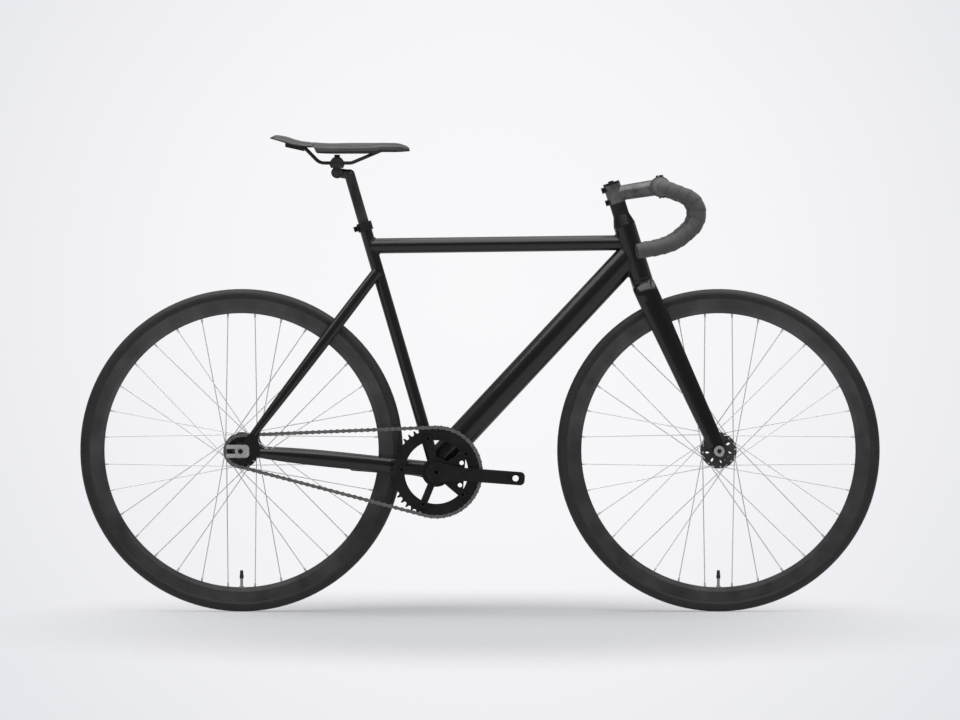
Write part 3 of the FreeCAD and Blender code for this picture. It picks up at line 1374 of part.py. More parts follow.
def at_both_eyes(solid):
    """Copies of a solid at the two ends of a link."""
    copies = []
    for end in (-1, 1):
        copy = solid.copy()
        copy.translate(FORWARD * (end * pitch / 2))
        copies.append(copy)
    return copies


def round_bar(radius, half_length):
    """Bar across the chain, centred on its middle."""
    return Part.makeCylinder(radius, 2 * half_length, UP * -half_length, UP)


inner_face = size("chain_inner_width / 2")
outer_face = size("chain_inner_width / 2 + chain_plate_thickness + chain_plate_gap")
pin_half = outer_face + size("chain_plate_thickness + chain_pin_end")
plate_depth = size("chain_plate_thickness")
pin_hole = round_bar(size("chain_pin_diameter / 2 + running_fit"), pin_half)
bush = round_bar(size("roller_bore / 2 - running_fit"), inner_face)
roller = round_bar(size("roller_diameter / 2"), inner_face - size("seat_gap"))
roller = roller.cut(round_bar(size("roller_bore / 2"), inner_face))
pin = round_bar(size("chain_pin_diameter / 2"), pin_half)
outer_link = link_plate(outer_face).multiFuse([link_plate(-outer_face - plate_depth)] + at_both_eyes(pin))
inner_link = link_plate(inner_face).multiFuse([link_plate(-inner_face - plate_depth)] + at_both_eyes(bush))
inner_link = inner_link.cut(Part.makeCompound(at_both_eyes(pin_hole)))

rollers = chain_points()
outer_links = []
inner_links = []
for index, start in enumerate(rollers):
    end = rollers[(index + 1) % len(rollers)]
    spot = place((start + end) / 2, RIGHT, (end - start).normalize())
    pieces = [outer_link] if index % 2 == 0 else [inner_link] + at_both_eyes(roller)
    for piece in pieces:
        copy = piece.copy()
        copy.Placement = spot.multiply(copy.Placement)
        (outer_links if index % 2 == 0 else inner_links).extend(copy.Solids)
for name, label, solids in (("OuterLinks", "chain_outer_links", outer_links),
                            ("InnerLinks", "chain_inner_links", inner_links)):
    links = doc.addObject("Part::Feature", name)
    links.Shape = Part.makeCompound(solids)
    node(links, label)

# Crankset: spindle, right arm forged with its spider, left arm, chainring bolts and crank bolts
crank_lean = math.radians(-size("crank_dip"))
crank_ahead = Vec(math.cos(crank_lean), 0, math.sin(crank_lean))
spider_face = size("chain_line + sprocket_thickness / 2")
boss_inner = "(chain_line + sprocket_thickness / 2)"
spindle_end = "(crank_arm_inset + crank_arm_thickness / 2)"
crank_tip = "crank_length + crank_end"


def crank_arm(name, ahead, out):
    """Tapered arm with a squared, rounded end for the pedal and a boss on the spindle."""
    base = crank_axle + out * size("crank_arm_inset")
    shank = plate(name + "Shank", [[
        ("0", "-crank_boss_diameter / 2"),
        ("crank_boss_diameter", "-crank_arm_width / 2"),
        (crank_tip, "-crank_arm_width / 2"),
        (crank_tip, "crank_arm_width / 2"),
        ("crank_boss_diameter", "crank_arm_width / 2"),
        ("0", "crank_boss_diameter / 2"),
    ]], "crank_arm_thickness", place(base, out, ahead),
        [(1, "crank_length"), (4, "crank_length"), (2, "crank_end / 2"), (3, "crank_end / 2")])
    boss_length = f"crank_arm_inset + crank_arm_thickness - {boss_inner}"
    boss = cylinder(name + "Boss", "crank_boss_diameter", boss_length, crank_axle + out * size(boss_inner), out)
    return [shank, boss]


def crank_bores(name, ahead, out):
    """Square for the spindle, recess for the crank bolt and thread for the pedal."""
    across = "spindle_square + 2 * running_fit"
    square = block(name + "Square", (across, across, f"2 * {spindle_end}"), crank_axle, LEFT, ahead)
    recess = cylinder(name + "Recess", "crank_bolt_head + 2 * seat_gap", "crank_arm_thickness",
                      crank_axle + out * size(spindle_end), out)
    pedal_centre = crank_axle + out * size("crank_arm_inset") + ahead * size("crank_length")
    thread = cylinder(name + "Thread", "pedal_thread_diameter - 2 * pedal_thread_depth", "4 * crank_arm_thickness",
                      pedal_centre, out, centred=True)
    return [square, recess, thread]


spider_base = crank_axle + RIGHT * spider_face
half_gap = "180 / spider_arms"
web_reach = f"bolt_circle / 2 * cos({half_gap})"
web_half = f"bolt_circle / 2 * sin({half_gap})"
spider_hub = cylinder("SpiderHub", "spider_hub_diameter", "spider_thickness", spider_base, RIGHT)
spider_web = plate("SpiderWeb", [[("0", "0"), (web_reach, f"-{web_half}"), (web_reach, web_half)]],
                   "spider_thickness", place(spider_base, RIGHT, crank_ahead))
spider = [spider_hub, spider_web]
web_windows = []
for lean in (-1, 1):
    ahead = swing(crank_ahead, lean * math.radians(size("spider_window_angle")))
    web_windows.append(cylinder("WebWindow", "spider_window_diameter", "spider_thickness",
                                spider_base + ahead * size("spider_window_circle / 2"), RIGHT))
bolt_holes = []
ring_bolts = []
bolt_reach = size("bolt_circle / 2")
arms = int(size("spider_arms"))
inner_side = size("chain_line - sprocket_thickness / 2 - chainring_bolt_head_height")
outer_side = size("chain_line + sprocket_thickness / 2 + spider_thickness")
for index in range(arms):
    ahead = swing(crank_ahead, math.pi * (2 * index + 1) / arms)
    middle = crank_axle + RIGHT * (spider_face + size("spider_thickness / 2"))
    spider.append(block("SpiderArm", ("bolt_circle / 2", "spider_arm_width", "spider_thickness"),
                        middle + ahead * (bolt_reach / 2), RIGHT, ahead))
    spot = crank_axle + ahead * bolt_reach
    tab_base = spot + RIGHT * spider_face
    spider.append(cylinder("SpiderTab", "spider_tab_diameter", "spider_thickness", tab_base, RIGHT))
    inner_spot = spot + RIGHT * inner_side
    outer_spot = spot + RIGHT * outer_side
    bolt_holes.append(cylinder("BoltHole", "chainring_bolt_diameter + 2 * seat_gap", "chain_line", inner_spot, RIGHT))
    sleeve_bar = cylinder("BoltSleeve", "chainring_bolt_diameter", outer_side - inner_side, inner_spot, RIGHT)
    nut_head = cylinder("BoltNut", "chainring_bolt_head", "chainring_bolt_head_height", inner_spot, RIGHT)
    cap_disc = cylinder("BoltCap", "chainring_bolt_head", "chainring_bolt_head_height", outer_spot, RIGHT)
    ring_bolts.append(fuse("RingBolt", sleeve_bar, nut_head, cap_disc))
holes = group("BoltHoles", *bolt_holes)
node(cut("Chainring", ring_body, holes), "chainring")
node(group("RingBolts", *ring_bolts), "chainring_bolts")
right_pieces = crank_arm("RightArm", crank_ahead, RIGHT) + spider
right_bores = crank_bores("RightArm", crank_ahead, RIGHT) + web_windows
node(cut("CrankRight", fuse("CrankRightBlank", *right_pieces), holes, *right_bores), "crank_arm_right")
crank_behind = crank_ahead * -1
node(cut("CrankLeft", fuse("CrankLeftBlank", *crank_arm("LeftArm", crank_behind, LEFT)),
         *crank_bores("LeftArm", crank_behind, LEFT)), "crank_arm_left")

round_bar_length = f"2 * {boss_inner}"
spindle_bar = cylinder("SpindleBar", "spindle_diameter", round_bar_length, crank_axle, LEFT, centred=True)
spindle_ends = block("SpindleEnds", ("spindle_square", "spindle_square", f"2 * {spindle_end}"),
                     crank_axle, LEFT, crank_ahead)
crank_bolts = []
spindle_holes = []
for side, out in SIDES:
    seat = crank_axle + out * size(spindle_end)
    shank = cylinder("CrankBoltShank", "crank_bolt_diameter", "crank_bolt_length", seat, out * -1)
    head = cylinder("CrankBoltHead", "crank_bolt_head", "crank_bolt_head_height", seat, out)
    crank_bolts.append(fuse("CrankBolt" + side.title(), shank, head))
    spindle_holes.append(cylinder("SpindleHole", "crank_bolt_diameter + 2 * seat_gap", "crank_bolt_length",
                                  seat, out * -1))
node(cut("Spindle", fuse("SpindleBlank", spindle_bar, spindle_ends), *spindle_holes), "crank_spindle")
node(group("CrankBolts", *crank_bolts), "crank_bolts")

# Bottom bracket: a threaded cup and a bearing in each end of the shell
bracket = []
for side, out in SIDES:
    bracket.append(turned("Cup" + side.title(), [[
        ("cup_mouth / 2", "0"),
        ("cup_flange_diameter / 2", "0"),
        ("cup_flange_diameter / 2", "-cup_flange_width"),
        ("shell_bore / 2 - running_fit", "-cup_flange_width"),
        ("shell_bore / 2 - running_fit", "-cup_flange_width - cup_depth"),
        ("cup_bore / 2 + running_fit", "-cup_flange_width - cup_depth"),
        ("cup_bore / 2 + running_fit", "-cup_flange_width"),
        ("cup_mouth / 2", "-cup_flange_width"),
    ]], place(crank_axle + out * size("shell_width / 2 + cup_flange_width"), out)))
    bracket.append(pipe("CrankBearing", "cup_bore", "spindle_diameter + 2 * running_fit", "crank_bearing_width",
                        crank_axle + out * size("shell_width / 2 - crank_bearing_width"), out))
node(group("BottomBracket", *bracket), "bottom_bracket_cups")

# Seatpost: a tube with a set-back head that carries the saddle clamp
rail_height = size("saddle_rail_height")
head_height = rail_height - size("post_head_drop")
post_length = (rail_height - size("post_knee_drop") - crank_axle.z) / seat_up.z
post_base = size("seat_tube_length - seatpost_inserted")
knee = seat_point(post_length)
head_centre = Vec(knee.x - size("saddle_setback"), 0, head_height)
clamp_centre = Vec(head_centre.x, 0, rail_height)
post_skin = cylinder("PostSkin", "seatpost_diameter", post_length - post_base, seat_point(post_base), seat_up)
post_bore = cylinder("PostBore", "seatpost_diameter - 2 * seatpost_wall",
                     post_length - post_base - size("post_head_diameter"), seat_point(post_base), seat_up)
post_head = cylinder("PostHead", "post_head_diameter", "post_head_width", head_centre, LEFT, centred=True)
post_knee = doc.addObject("Part::Sphere", "PostKnee")
bind(post_knee, Radius="seatpost_diameter / 2")
post_knee.Placement = place(knee, UP)
post_neck = cylinder("PostNeck", "post_neck_diameter", (head_centre - knee).Length, knee, head_centre - knee)
clamp_hole = cylinder("ClampHole", "clamp_bolt_diameter + 2 * seat_gap", "4 * post_head_diameter", head_centre, UP,
                      centred=True)
post_blank = fuse("SeatpostBlank", post_skin, post_knee, post_neck, post_head)
node(cut("Seatpost", post_blank, post_bore, clamp_hole), "seatpost")

# Saddle clamp: two cradles round the rails, drawn down on the head by one bolt
cradle_place = place(clamp_centre + LEFT * size("cradle_width / 2"), RIGHT, FORWARD)
lower_foot = "-cradle_gap / 2 - cradle_lower_height"
upper_top = "cradle_gap / 2 + cradle_upper_height"
lower_cradle = plate("LowerCradle", [[
    ("-cradle_foot_length / 2", lower_foot),
    ("cradle_foot_length / 2", lower_foot),
    ("cradle_length / 2", "-cradle_gap / 2"),
    ("-cradle_length / 2", "-cradle_gap / 2"),
]], "cradle_width", cradle_place)
upper_cradle = plate("UpperCradle", [[
    ("-cradle_length / 2", "cradle_gap / 2"),
    ("cradle_length / 2", "cradle_gap / 2"),
    ("cradle_top_length / 2", upper_top),
    ("-cradle_top_length / 2", upper_top),
]], "cradle_width", cradle_place)
rail_grooves = []
for side, out in SIDES:
    rail_grooves.append(cylinder("RailGroove", "rail_diameter + 2 * seat_gap", "2 * cradle_length",
                                 clamp_centre + out * size("rail_spacing / 2"), FORWARD, centred=True))
head_recess = cylinder("HeadRecess", "post_head_diameter + 2 * seat_gap", "cradle_width", head_centre, LEFT,
                       centred=True)
cradle_top = clamp_centre + UP * size(upper_top)
bolt_bar = cylinder("ClampBoltBar", "clamp_bolt_diameter", cradle_top.z - head_centre.z, cradle_top, UP * -1)
bolt_head = cylinder("ClampBoltHead", "clamp_bolt_head", "clamp_bolt_head_height", cradle_top, UP)
node(group("SaddleClamp",
           cut("LowerCradleCut", lower_cradle, *rail_grooves, head_recess, clamp_hole),
           cut("UpperCradleCut", upper_cradle, *rail_grooves, clamp_hole),
           fuse("SaddleBolt", bolt_bar, bolt_head)), "saddle_clamp")

# Saddle: padded cover on a moulded shell, with two bent rails
# Each station is its place from tail to nose, its width, and its top and underside heights
saddle_shares = (
    (0.00, 0.55, 0.925, 0.775),
    (0.06, 0.85, 0.990, 0.650),
    (0.235, 1.00, 0.640, 0.330),
    (0.310, 0.92, 0.605, 0.330),
    (0.335, 0.90, 0.595, 0.030),
    (0.45, 0.72, 0.560, 0.000),
    (0.65, 0.42, 0.570, 0.000),
    (0.75, 0.36, 0.580, 0.015),
    (0.80, 0.34, 0.585, 0.080),
    (0.90, 0.30, 0.580, 0.080),
    (1.00, 0.18, 0.350, 0.125),
)
shell_width_share = 0.9
pad_side_share = 0.45
saddle_tail = clamp_centre + UP * size("saddle_rise") - FORWARD * size("saddle_tail_reach")
shell_depth = size("saddle_shell_thickness")


station_spots, *station_curves = zip(*saddle_shares)
loft_shares = []
for start, end in zip(station_spots, station_spots[1:]):
    loft_shares += [start, start + (end - start) / 3, end - (end - start) / 3]
loft_shares.append(station_spots[-1])


def eased(share, values):
    """Value between two stations, on a curve that never swings past either of them."""
    runs = [end - start for start, end in zip(station_spots, station_spots[1:])]
    slopes = [(end - start) / run for start, end, run in zip(values, values[1:], runs)]
    leans = [slopes[0]]
    for before, after in zip(slopes, slopes[1:]):
        leans.append(2 * before * after / (before + after) if before * after > 0 else 0)
    leans.append(slopes[-1])
    last = len(runs) - 1
    at = min(last, sum(share >= spot for spot in station_spots) - 1)
    gone = (share - station_spots[at]) / runs[at]
    left = 1 - gone
    ends = values[at] * left ** 2 * (1 + 2 * gone) + values[at + 1] * gone ** 2 * (1 + 2 * left)
    return ends + runs[at] * gone * left * (leans[at] * left - leans[at + 1] * gone)


def saddle_loft(name, width_share, floor_rise, roof_rise, crowned):
    """Loft through the stations between a floor above the underside and a roof, flat or crowned."""
    wires = []
    for along in loft_shares:
        width, top, bottom = [eased(along, values) for values in station_curves]
        middle = saddle_tail + FORWARD * (along * size("saddle_length"))
        half = width * width_share * size("saddle_width / 2")
        floor = middle + UP * (bottom * size("saddle_crown") + floor_rise)
        crest = floor + UP * (roof_rise - floor_rise)
        if crowned:
            crest = middle + UP * (top * size("saddle_crown"))
        rise = crest - floor
        eaves = floor + rise * pad_side_share if crowned else crest
        corners = [floor + RIGHT * half, eaves + RIGHT * half, eaves + LEFT * half, floor + LEFT * half]
        roof = Part.LineSegment(corners[1], corners[2])
        if crowned:
            roof = Part.Arc(corners[1], crest, corners[2])
        wires.append(Part.Wire([
            Part.LineSegment(corners[0], corners[1]).toShape(),
            roof.toShape(),
            Part.LineSegment(corners[2], corners[3]).toShape(),
            Part.LineSegment(corners[3], corners[0]).toShape(),
        ]))
    form = doc.addObject("Part::Feature", name)
    form.Shape = Part.makeLoft(wires, True, True)
    return form


def underside(reach):
    """Height of the saddle's underside, so far ahead of its tail."""
    return saddle_tail.z + eased(reach / size("saddle_length"), station_curves[-1]) * size("saddle_crown")


def rail_socket(name, out):
    """Moulded socket under the tail that takes the rear end of a rail."""
    start = size("rail_socket_start")
    end = size("rail_socket_end")
    edge = saddle_tail + out * size("rail_tail_spacing / 2") + RIGHT * size("rail_socket_width / 2")
    corners = []
    for reach, drop in ((start, size("rail_socket_depth")), (end, size("rail_socket_depth")),
                        (end, -shell_depth / 2), (start, -shell_depth / 2)):
        corners.append(Vec(edge.x + reach, edge.y, underside(reach) - drop))
    socket = doc.addObject("Part::Feature", name)
    socket.Shape = Part.Face(Part.makePolygon(corners + corners[:1])).extrude(LEFT * size("rail_socket_width"))
    return socket


sockets = [rail_socket("RailSocket" + side.title(), out) for side, out in SIDES]
bare_shell = saddle_loft("BareShell", shell_width_share, 0, shell_depth, False)
node(fuse("SaddleShell", bare_shell, *sockets), "saddle_shell")
node(saddle_loft("SaddleCover", 1, shell_depth + size("clear_gap"), 0, True), "saddle_cover")
envelope_loft = saddle_loft("EnvelopeLoft", shell_width_share, 0, size("saddle_crown / 2"), False)
saddle_envelope = fuse("SaddleEnvelope", envelope_loft, *sockets)

bend = size("rail_bend_radius")
rails = []
for side, out in SIDES:
    tail_reach = size("saddle_tail_reach - rail_rear_reach")
    nose_reach = size("saddle_tail_reach + rail_front_reach")
    tail_middle = Vec(saddle_tail.x + tail_reach, 0, underside(tail_reach) + shell_depth)
    nose_middle = Vec(saddle_tail.x + nose_reach, 0, underside(nose_reach) + shell_depth)
    tail_end = tail_middle + out * size("rail_tail_spacing / 2")
    nose_end = nose_middle + out * size("rail_nose_spacing / 2")
    beside = clamp_centre + out * size("rail_spacing / 2")
    path = rounded_path([tail_end, beside - FORWARD * size("rail_rear_bend"),
                         beside + FORWARD * size("rail_front_bend"), nose_end], [bend, bend])
    rails.append(cut("Rail" + side.title(), swept("RailBar", "rail_diameter", path), saddle_envelope))
node(group("Rails", *rails), "saddle_rails")

# Every feature has to be sound before anything is written
doc.recompute()
for item in doc.Objects:
    if "Invalid" in item.State or "Error" in item.State:
        raise RuntimeError(f"{item.Name} failed: {item.State}")
for item in nodes:
    if item.Shape.isNull() or not item.Shape.isValid() or not item.Shape.Solids:
        raise RuntimeError(f"{item.Label} has no sound solid")

os.makedirs("parts", exist_ok=True)
for item in nodes:
    item.Shape.exportStep(f"parts/{item.Label}.step")
    print(f"{item.Label}: {len(item.Shape.Solids)} solids, {item.Shape.Volume / 1000:.1f} cm3")
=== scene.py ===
import math

import bmesh
import bpy
from mathutils import Matrix, Vector
from mathutils.bvhtree import BVHTree


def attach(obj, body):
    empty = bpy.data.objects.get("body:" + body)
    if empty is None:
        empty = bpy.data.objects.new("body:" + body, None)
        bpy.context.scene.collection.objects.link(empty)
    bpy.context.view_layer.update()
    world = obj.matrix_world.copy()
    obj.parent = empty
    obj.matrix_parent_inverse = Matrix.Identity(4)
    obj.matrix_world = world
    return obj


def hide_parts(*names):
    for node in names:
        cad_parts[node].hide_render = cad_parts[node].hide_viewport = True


# The bicycle stands on the floor, front wheel towards +X and chain towards -Y.
# Its rigid pieces come in already built, so here they get their finishes and their finer parts.
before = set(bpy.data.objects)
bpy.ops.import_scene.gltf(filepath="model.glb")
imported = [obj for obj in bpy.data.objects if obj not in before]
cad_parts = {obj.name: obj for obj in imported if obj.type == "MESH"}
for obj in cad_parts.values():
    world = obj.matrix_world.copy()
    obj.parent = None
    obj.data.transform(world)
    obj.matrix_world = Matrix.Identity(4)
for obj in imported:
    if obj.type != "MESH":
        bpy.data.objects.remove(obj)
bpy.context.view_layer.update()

# Main frame: drawn aluminium tubes welded into two triangles and sprayed gloss black.
# The coat is thick and levelled, with faint orange peel, and keeps a little dust where it faces up.


def blank_finish(name):
    """A new finish, its node tree and its shader."""
    finish = bpy.data.materials.new(name)
    finish.use_nodes = True
    return finish, finish.node_tree, finish.node_tree.nodes["Principled BSDF"]


def step_node(tree, kind, sockets=None, **settings):
    """One node of any tree with its settings, its plain values and its links."""
    node = tree.nodes.new(kind)
    for key, value in settings.items():
        setattr(node, key, value)
    for key, value in (sockets or {}).items():
        if isinstance(value, bpy.types.NodeSocket):
            tree.links.new(value, node.inputs[key])
        else:
            node.inputs[key].default_value = value
    return node


def lay(tree, kind, sockets=None, **settings):
    """One shader node, its kind given without the usual first word."""
    return step_node(tree, "ShaderNode" + kind, sockets, **settings)


def noise(tree, place, scale, detail, **more):
    """Cloudy values between 0 and 1 over a piece."""
    return lay(tree, "TexNoise", {"Vector": place, "Scale": scale, "Detail": detail, **more}).outputs["Fac"]


def dents(tree, height, strength, depth):
    """A surface roughened by a height that varies over it."""
    return lay(tree, "Bump", {"Height": height, "Strength": strength, "Distance": depth}).outputs["Normal"]


def sums(tree, operation, first, second=0.0):
    """The result of one sum on two values or sockets."""
    return lay(tree, "Math", {0: first, 1: second}, operation=operation).outputs[0]


def shade(tree, factor, *stops):
    """Colours picked along a value, each stop a place and a colour."""
    node = lay(tree, "ValToRGB", {"Fac": factor})
    while len(node.color_ramp.elements) < len(stops):
        node.color_ramp.elements.new(0.5)
    for element, (spot, colour) in zip(node.color_ramp.elements, stops):
        element.position = spot
        element.color = (*colour, 1.0)
    return node.outputs["Color"]


def spread(tree, value, low, high):
    """A value between 0 and 1 spread over another range."""
    return lay(tree, "MapRange", {"Value": value, "To Min": low, "To Max": high}).outputs[0]


def join(tree, shader, **sockets):
    """Links what was made to the shader's sockets, named with underscores."""
    for key, socket in sockets.items():
        tree.links.new(socket, shader.inputs[key.replace("_", " ")])


def dress(finish, *nodes):
    """Puts a finish on pieces that came in with the frame."""
    for node in nodes:
        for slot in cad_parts[node].material_slots:
            slot.material = finish


def sprayed_black(name, gloss):
    finish, tree, shader = blank_finish(name)
    place = lay(tree, "TexCoord").outputs["Object"]
    cloud = noise(tree, place, 14.0, 5.0)
    speck = noise(tree, place, 1100.0, 2.0)
    peel = noise(tree, place, 380.0, 1.0)
    facing = lay(tree, "NewGeometry").outputs["Normal"]
    level = sums(tree, "MAXIMUM", lay(tree, "SeparateXYZ", {"Vector": facing}).outputs["Z"])
    dust = sums(tree, "MULTIPLY", sums(tree, "MULTIPLY", level, cloud), speck)
    join(tree, shader,
         Base_Color=shade(tree, dust, (0.1, (0.0035, 0.0035, 0.0038)), (0.42, (0.012, 0.012, 0.0125))),
         Roughness=spread(tree, cloud, gloss - 0.06, gloss + 0.08),
         Normal=dents(tree, peel, 0.06, 0.0006))
    shader.inputs["Specular IOR Level"].default_value = 0.3
    shader.inputs["Coat Weight"].default_value = 0.6
    shader.inputs["Coat Roughness"].default_value = 0.09
    return finish


frame_paint = sprayed_black("frame_black", 0.34)
dress(frame_paint, "head_tube", "top_tube", "down_tube", "seat_tube", "bottom_bracket_shell")
for side in ("right", "left"):
    dress(frame_paint, "chainstay_" + side, "seatstay_" + side, "track_end_" + side)

# Welds: each tube is mitred to the one it meets and run round with a narrow rippled bead.
# The beads lie under the same paint, so they show only as a soft ridge at every joint.
crank_axle = Vector((-0.09065, 0.0, 0.292))
rear_axle = Vector((-0.4965, 0.0, 0.336))
front_axle = Vector((0.4965, 0.0, 0.336))
seat_up = Vector((-0.28067, 0.0, 0.95981))
steer_up = Vector((-0.30071, 0.0, 0.95372))
steer_foot = Vector((0.45263, 0.0, 0.32217))
sideways = Vector((0.0, 1.0, 0.0))


def mitre(start, along, height, width, post, post_axis, post_radius, steps=96):
    """Points where an oval tube meets a round post, in order round the tube."""
    upright = along.cross(sideways).normalized()
    points = []
    for step in range(steps):
        turn = 2 * math.pi * step / steps
        corner = start + upright * (height / 2 * math.cos(turn)) + sideways * (width / 2 * math.sin(turn))
        gap = (corner - post) - post_axis * (corner - post).dot(post_axis)
        lean = along - post_axis * along.dot(post_axis)
        a, b, c = lean.dot(lean), gap.dot(lean), gap.dot(gap) - post_radius ** 2
        if b * b > a * c:
            points.append(corner + along * ((-b - math.sqrt(b * b - a * c)) / a))
    return points


def node_tool(name, inputs):
    """An empty geometry tree with a path coming in and the named sizes."""
    tree = bpy.data.node_groups.new(name, "GeometryNodeTree")
    tree.interface.new_socket("Geometry", in_out="INPUT", socket_type="NodeSocketGeometry")
    sockets = {}
    for label, kind, value in inputs:
        socket = tree.interface.new_socket(label, in_out="INPUT", socket_type="NodeSocket" + kind)
        if value is not None:
            socket.default_value = value
        sockets[label] = socket.identifier
    tree.interface.new_socket("Geometry", in_out="OUTPUT", socket_type="NodeSocketGeometry")
    return tree, tree.nodes.new("NodeGroupInput"), tree.nodes.new("NodeGroupOutput"), sockets


def bead_tool():
    tree, entry, exit_, sockets = node_tool("weld_bead", [
        ("Ripple Pitch", "Float", 0.0022), ("Bead Radius", "Float", 0.0028), ("Stretch", "Float", 0.62),
        ("Finish", "Material", None)])
    run = step_node(tree, "GeometryNodeResampleCurve", {
        "Curve": entry.outputs["Geometry"], "Length": entry.outputs["Ripple Pitch"]}, mode="LENGTH")
    ripple = step_node(tree, "GeometryNodeMeshUVSphere",
                       {"Segments": 10, "Rings": 6, "Radius": entry.outputs["Bead Radius"]})
    heading = step_node(tree, "GeometryNodeInputTangent")
    turned = step_node(tree, "FunctionNodeAlignRotationToVector", {"Vector": heading.outputs[0]}, axis="Z")
    drawn = step_node(tree, "ShaderNodeCombineXYZ", {"X": 1.0, "Y": 1.0, "Z": entry.outputs["Stretch"]})
    laid = step_node(tree, "GeometryNodeInstanceOnPoints", {
        "Points": run.outputs["Curve"], "Instance": ripple.outputs["Mesh"],
        "Rotation": turned.outputs[0], "Scale": drawn.outputs[0]})
    real = step_node(tree, "GeometryNodeRealizeInstances", {"Geometry": laid.outputs["Instances"]})
    smooth = step_node(tree, "GeometryNodeSetShadeSmooth", {"Geometry": real.outputs["Geometry"]})
    painted = step_node(tree, "GeometryNodeSetMaterial",
                        {"Geometry": smooth.outputs["Geometry"], "Material": entry.outputs["Finish"]})
    tree.links.new(painted.outputs["Geometry"], exit_.inputs["Geometry"])
    return tree, sockets


def placed(name, data):
    """A new object at the origin that holds a mesh, a curve, a lamp or a camera."""
    piece = bpy.data.objects.new(name, data)
    bpy.context.collection.objects.link(piece)
    return piece


def polyline(name, lines, closed=False):
    """A curve object of straight-sided lines of points, with or without a radius, for a tree to follow."""
    curve = bpy.data.curves.new(name, "CURVE")
    curve.dimensions = "3D"
    for points in lines:
        spline = curve.splines.new("POLY")
        spline.points.add(len(points) - 1)
        spline.use_cyclic_u = closed
        for spot, point in zip(spline.points, points):
            spot.co = (*point[:3], 1.0)
            spot.radius = point[3] if len(point) > 3 else 1.0
    return placed(name, curve)


def baked(name, source):
    """A plain copy of an object with its modifiers worked in, in place of the object."""
    seen = source.evaluated_get(bpy.context.evaluated_depsgraph_get())
    mesh = bpy.data.meshes.new_from_object(seen)
    mesh.name = name
    bpy.data.objects.remove(source)
    return placed(name, mesh)


def grown(name, source, tree, sockets, values):
    """Runs a geometry tree on an object and keeps its result as a plain mesh."""
    maker = source.modifiers.new("maker", "NODES")
    maker.node_group = tree
    for label, value in values.items():
        maker[sockets[label]] = value
    return baked(name, source)


head_base, head_radius = 0.3897, 0.023
seat_tube_width = 0.0254
shell_radius = 0.021
top_tube_height, top_tube_width = 0.032, 0.030
down_tube_height, down_tube_width, down_tube_lift = 0.056, 0.040, 0.012
chainstay_height, chainstay_width, chainstay_out, chainstay_lift = 0.031, 0.017, 0.0252, 0.0035
top_seat_height, top_head_height, down_head_height = 0.489, 0.078, 0.057
tube_start, down_tube_start, chainstay_start = 0.1, 0.15, 0.06
down_front = steer_foot + steer_up * (head_base + down_head_height)
down_reach = down_front - crank_axle
down_lean = math.atan2(down_reach.z, down_reach.x) - math.asin(down_tube_lift / down_reach.length)
down_up = Vector((math.cos(down_lean), 0.0, math.sin(down_lean)))
top_rear = crank_axle + seat_up * top_seat_height
top_front = steer_foot + steer_up * (head_base + top_head_height)
top_ahead = (top_front - top_rear).normalized()
chain_end = crank_axle + Vector((0.0, 0.0, chainstay_lift))
chain_ahead = (chain_end - rear_axle).normalized()
whole_joints = [
    mitre(top_front - top_ahead * tube_start, top_ahead, top_tube_height, top_tube_width,
          steer_foot, steer_up, head_radius),
    mitre(top_rear + top_ahead * tube_start, -top_ahead, top_tube_height, top_tube_width,
          crank_axle, seat_up, seat_tube_width / 2),
    mitre(down_front - down_up * down_tube_start, down_up, down_tube_height, down_tube_width,
          steer_foot, steer_up, head_radius),
    mitre(crank_axle + seat_up * tube_start, -seat_up, seat_tube_width, seat_tube_width,
          crank_axle, sideways, shell_radius),
]
for out in (chainstay_out, -chainstay_out):
    stay = chain_end - chain_ahead * chainstay_start + sideways * out
    whole_joints.append(mitre(stay, chain_ahead, chainstay_height, chainstay_width,
                              crank_axle, sideways, shell_radius))
bead_tree, bead_sockets = bead_tool()
welds = grown("frame_welds", polyline("weld_run", whole_joints, closed=True), bead_tree, bead_sockets, {
    "Ripple Pitch": 0.0024, "Bead Radius": 0.0026, "Stretch": 0.62, "Finish": frame_paint})
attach(welds, "frame")

# Fork: aluminium crown and straight blades, sprayed with the frame and of nearly the same gloss.
# Its steerer is drawn tube, anodised black, and only a sliver of it shows under the head tube.
dress(sprayed_black("fork_black", 0.3), "fork_crown", "fork_blade_right", "fork_blade_left")


def anodised(name, rough, grain, worn):
    finish, tree, shader = blank_finish(name)
    place = lay(tree, "TexCoord").outputs["Object"]
    rubbed = noise(tree, place, 26.0, 8.0, Roughness=0.7)
    blast = noise(tree, place, grain, 2.0)
    mixed = sums(tree, "ADD", sums(tree, "MULTIPLY", rubbed, 0.8), sums(tree, "MULTIPLY", blast, 0.2))
    join(tree, shader,
         Base_Color=shade(tree, mixed, (0.3, (0.006, 0.006, 0.0065)), (0.62, worn)),
         Roughness=spread(tree, rubbed, rough - 0.08, rough + 0.14),
         Normal=dents(tree, blast, 0.12, 0.0003))
    shader.inputs["Metallic"].default_value = 0.5
    return finish


dress(anodised("steerer_black", 0.4, 900.0, (0.02, 0.02, 0.021)), "fork_steerer")

# Crown seal: a soft rubber ring lies on the fork's crown and keeps water out of the lower bearing.
# It turns with the fork and stops just short of the head tube.


def moulded_plastic(name, dark, light):
    finish, tree, shader = blank_finish(name)
    place = lay(tree, "TexCoord").outputs["Object"]
    spark = noise(tree, place, 900.0, 2.0)
    cloud = noise(tree, place, 20.0, 5.0)
    join(tree, shader,
         Base_Color=shade(tree, cloud, (0.3, dark), (0.7, light)),
         Roughness=spread(tree, spark, 0.42, 0.62),
         Normal=dents(tree, spark, 0.15, 0.0003))
    return finish


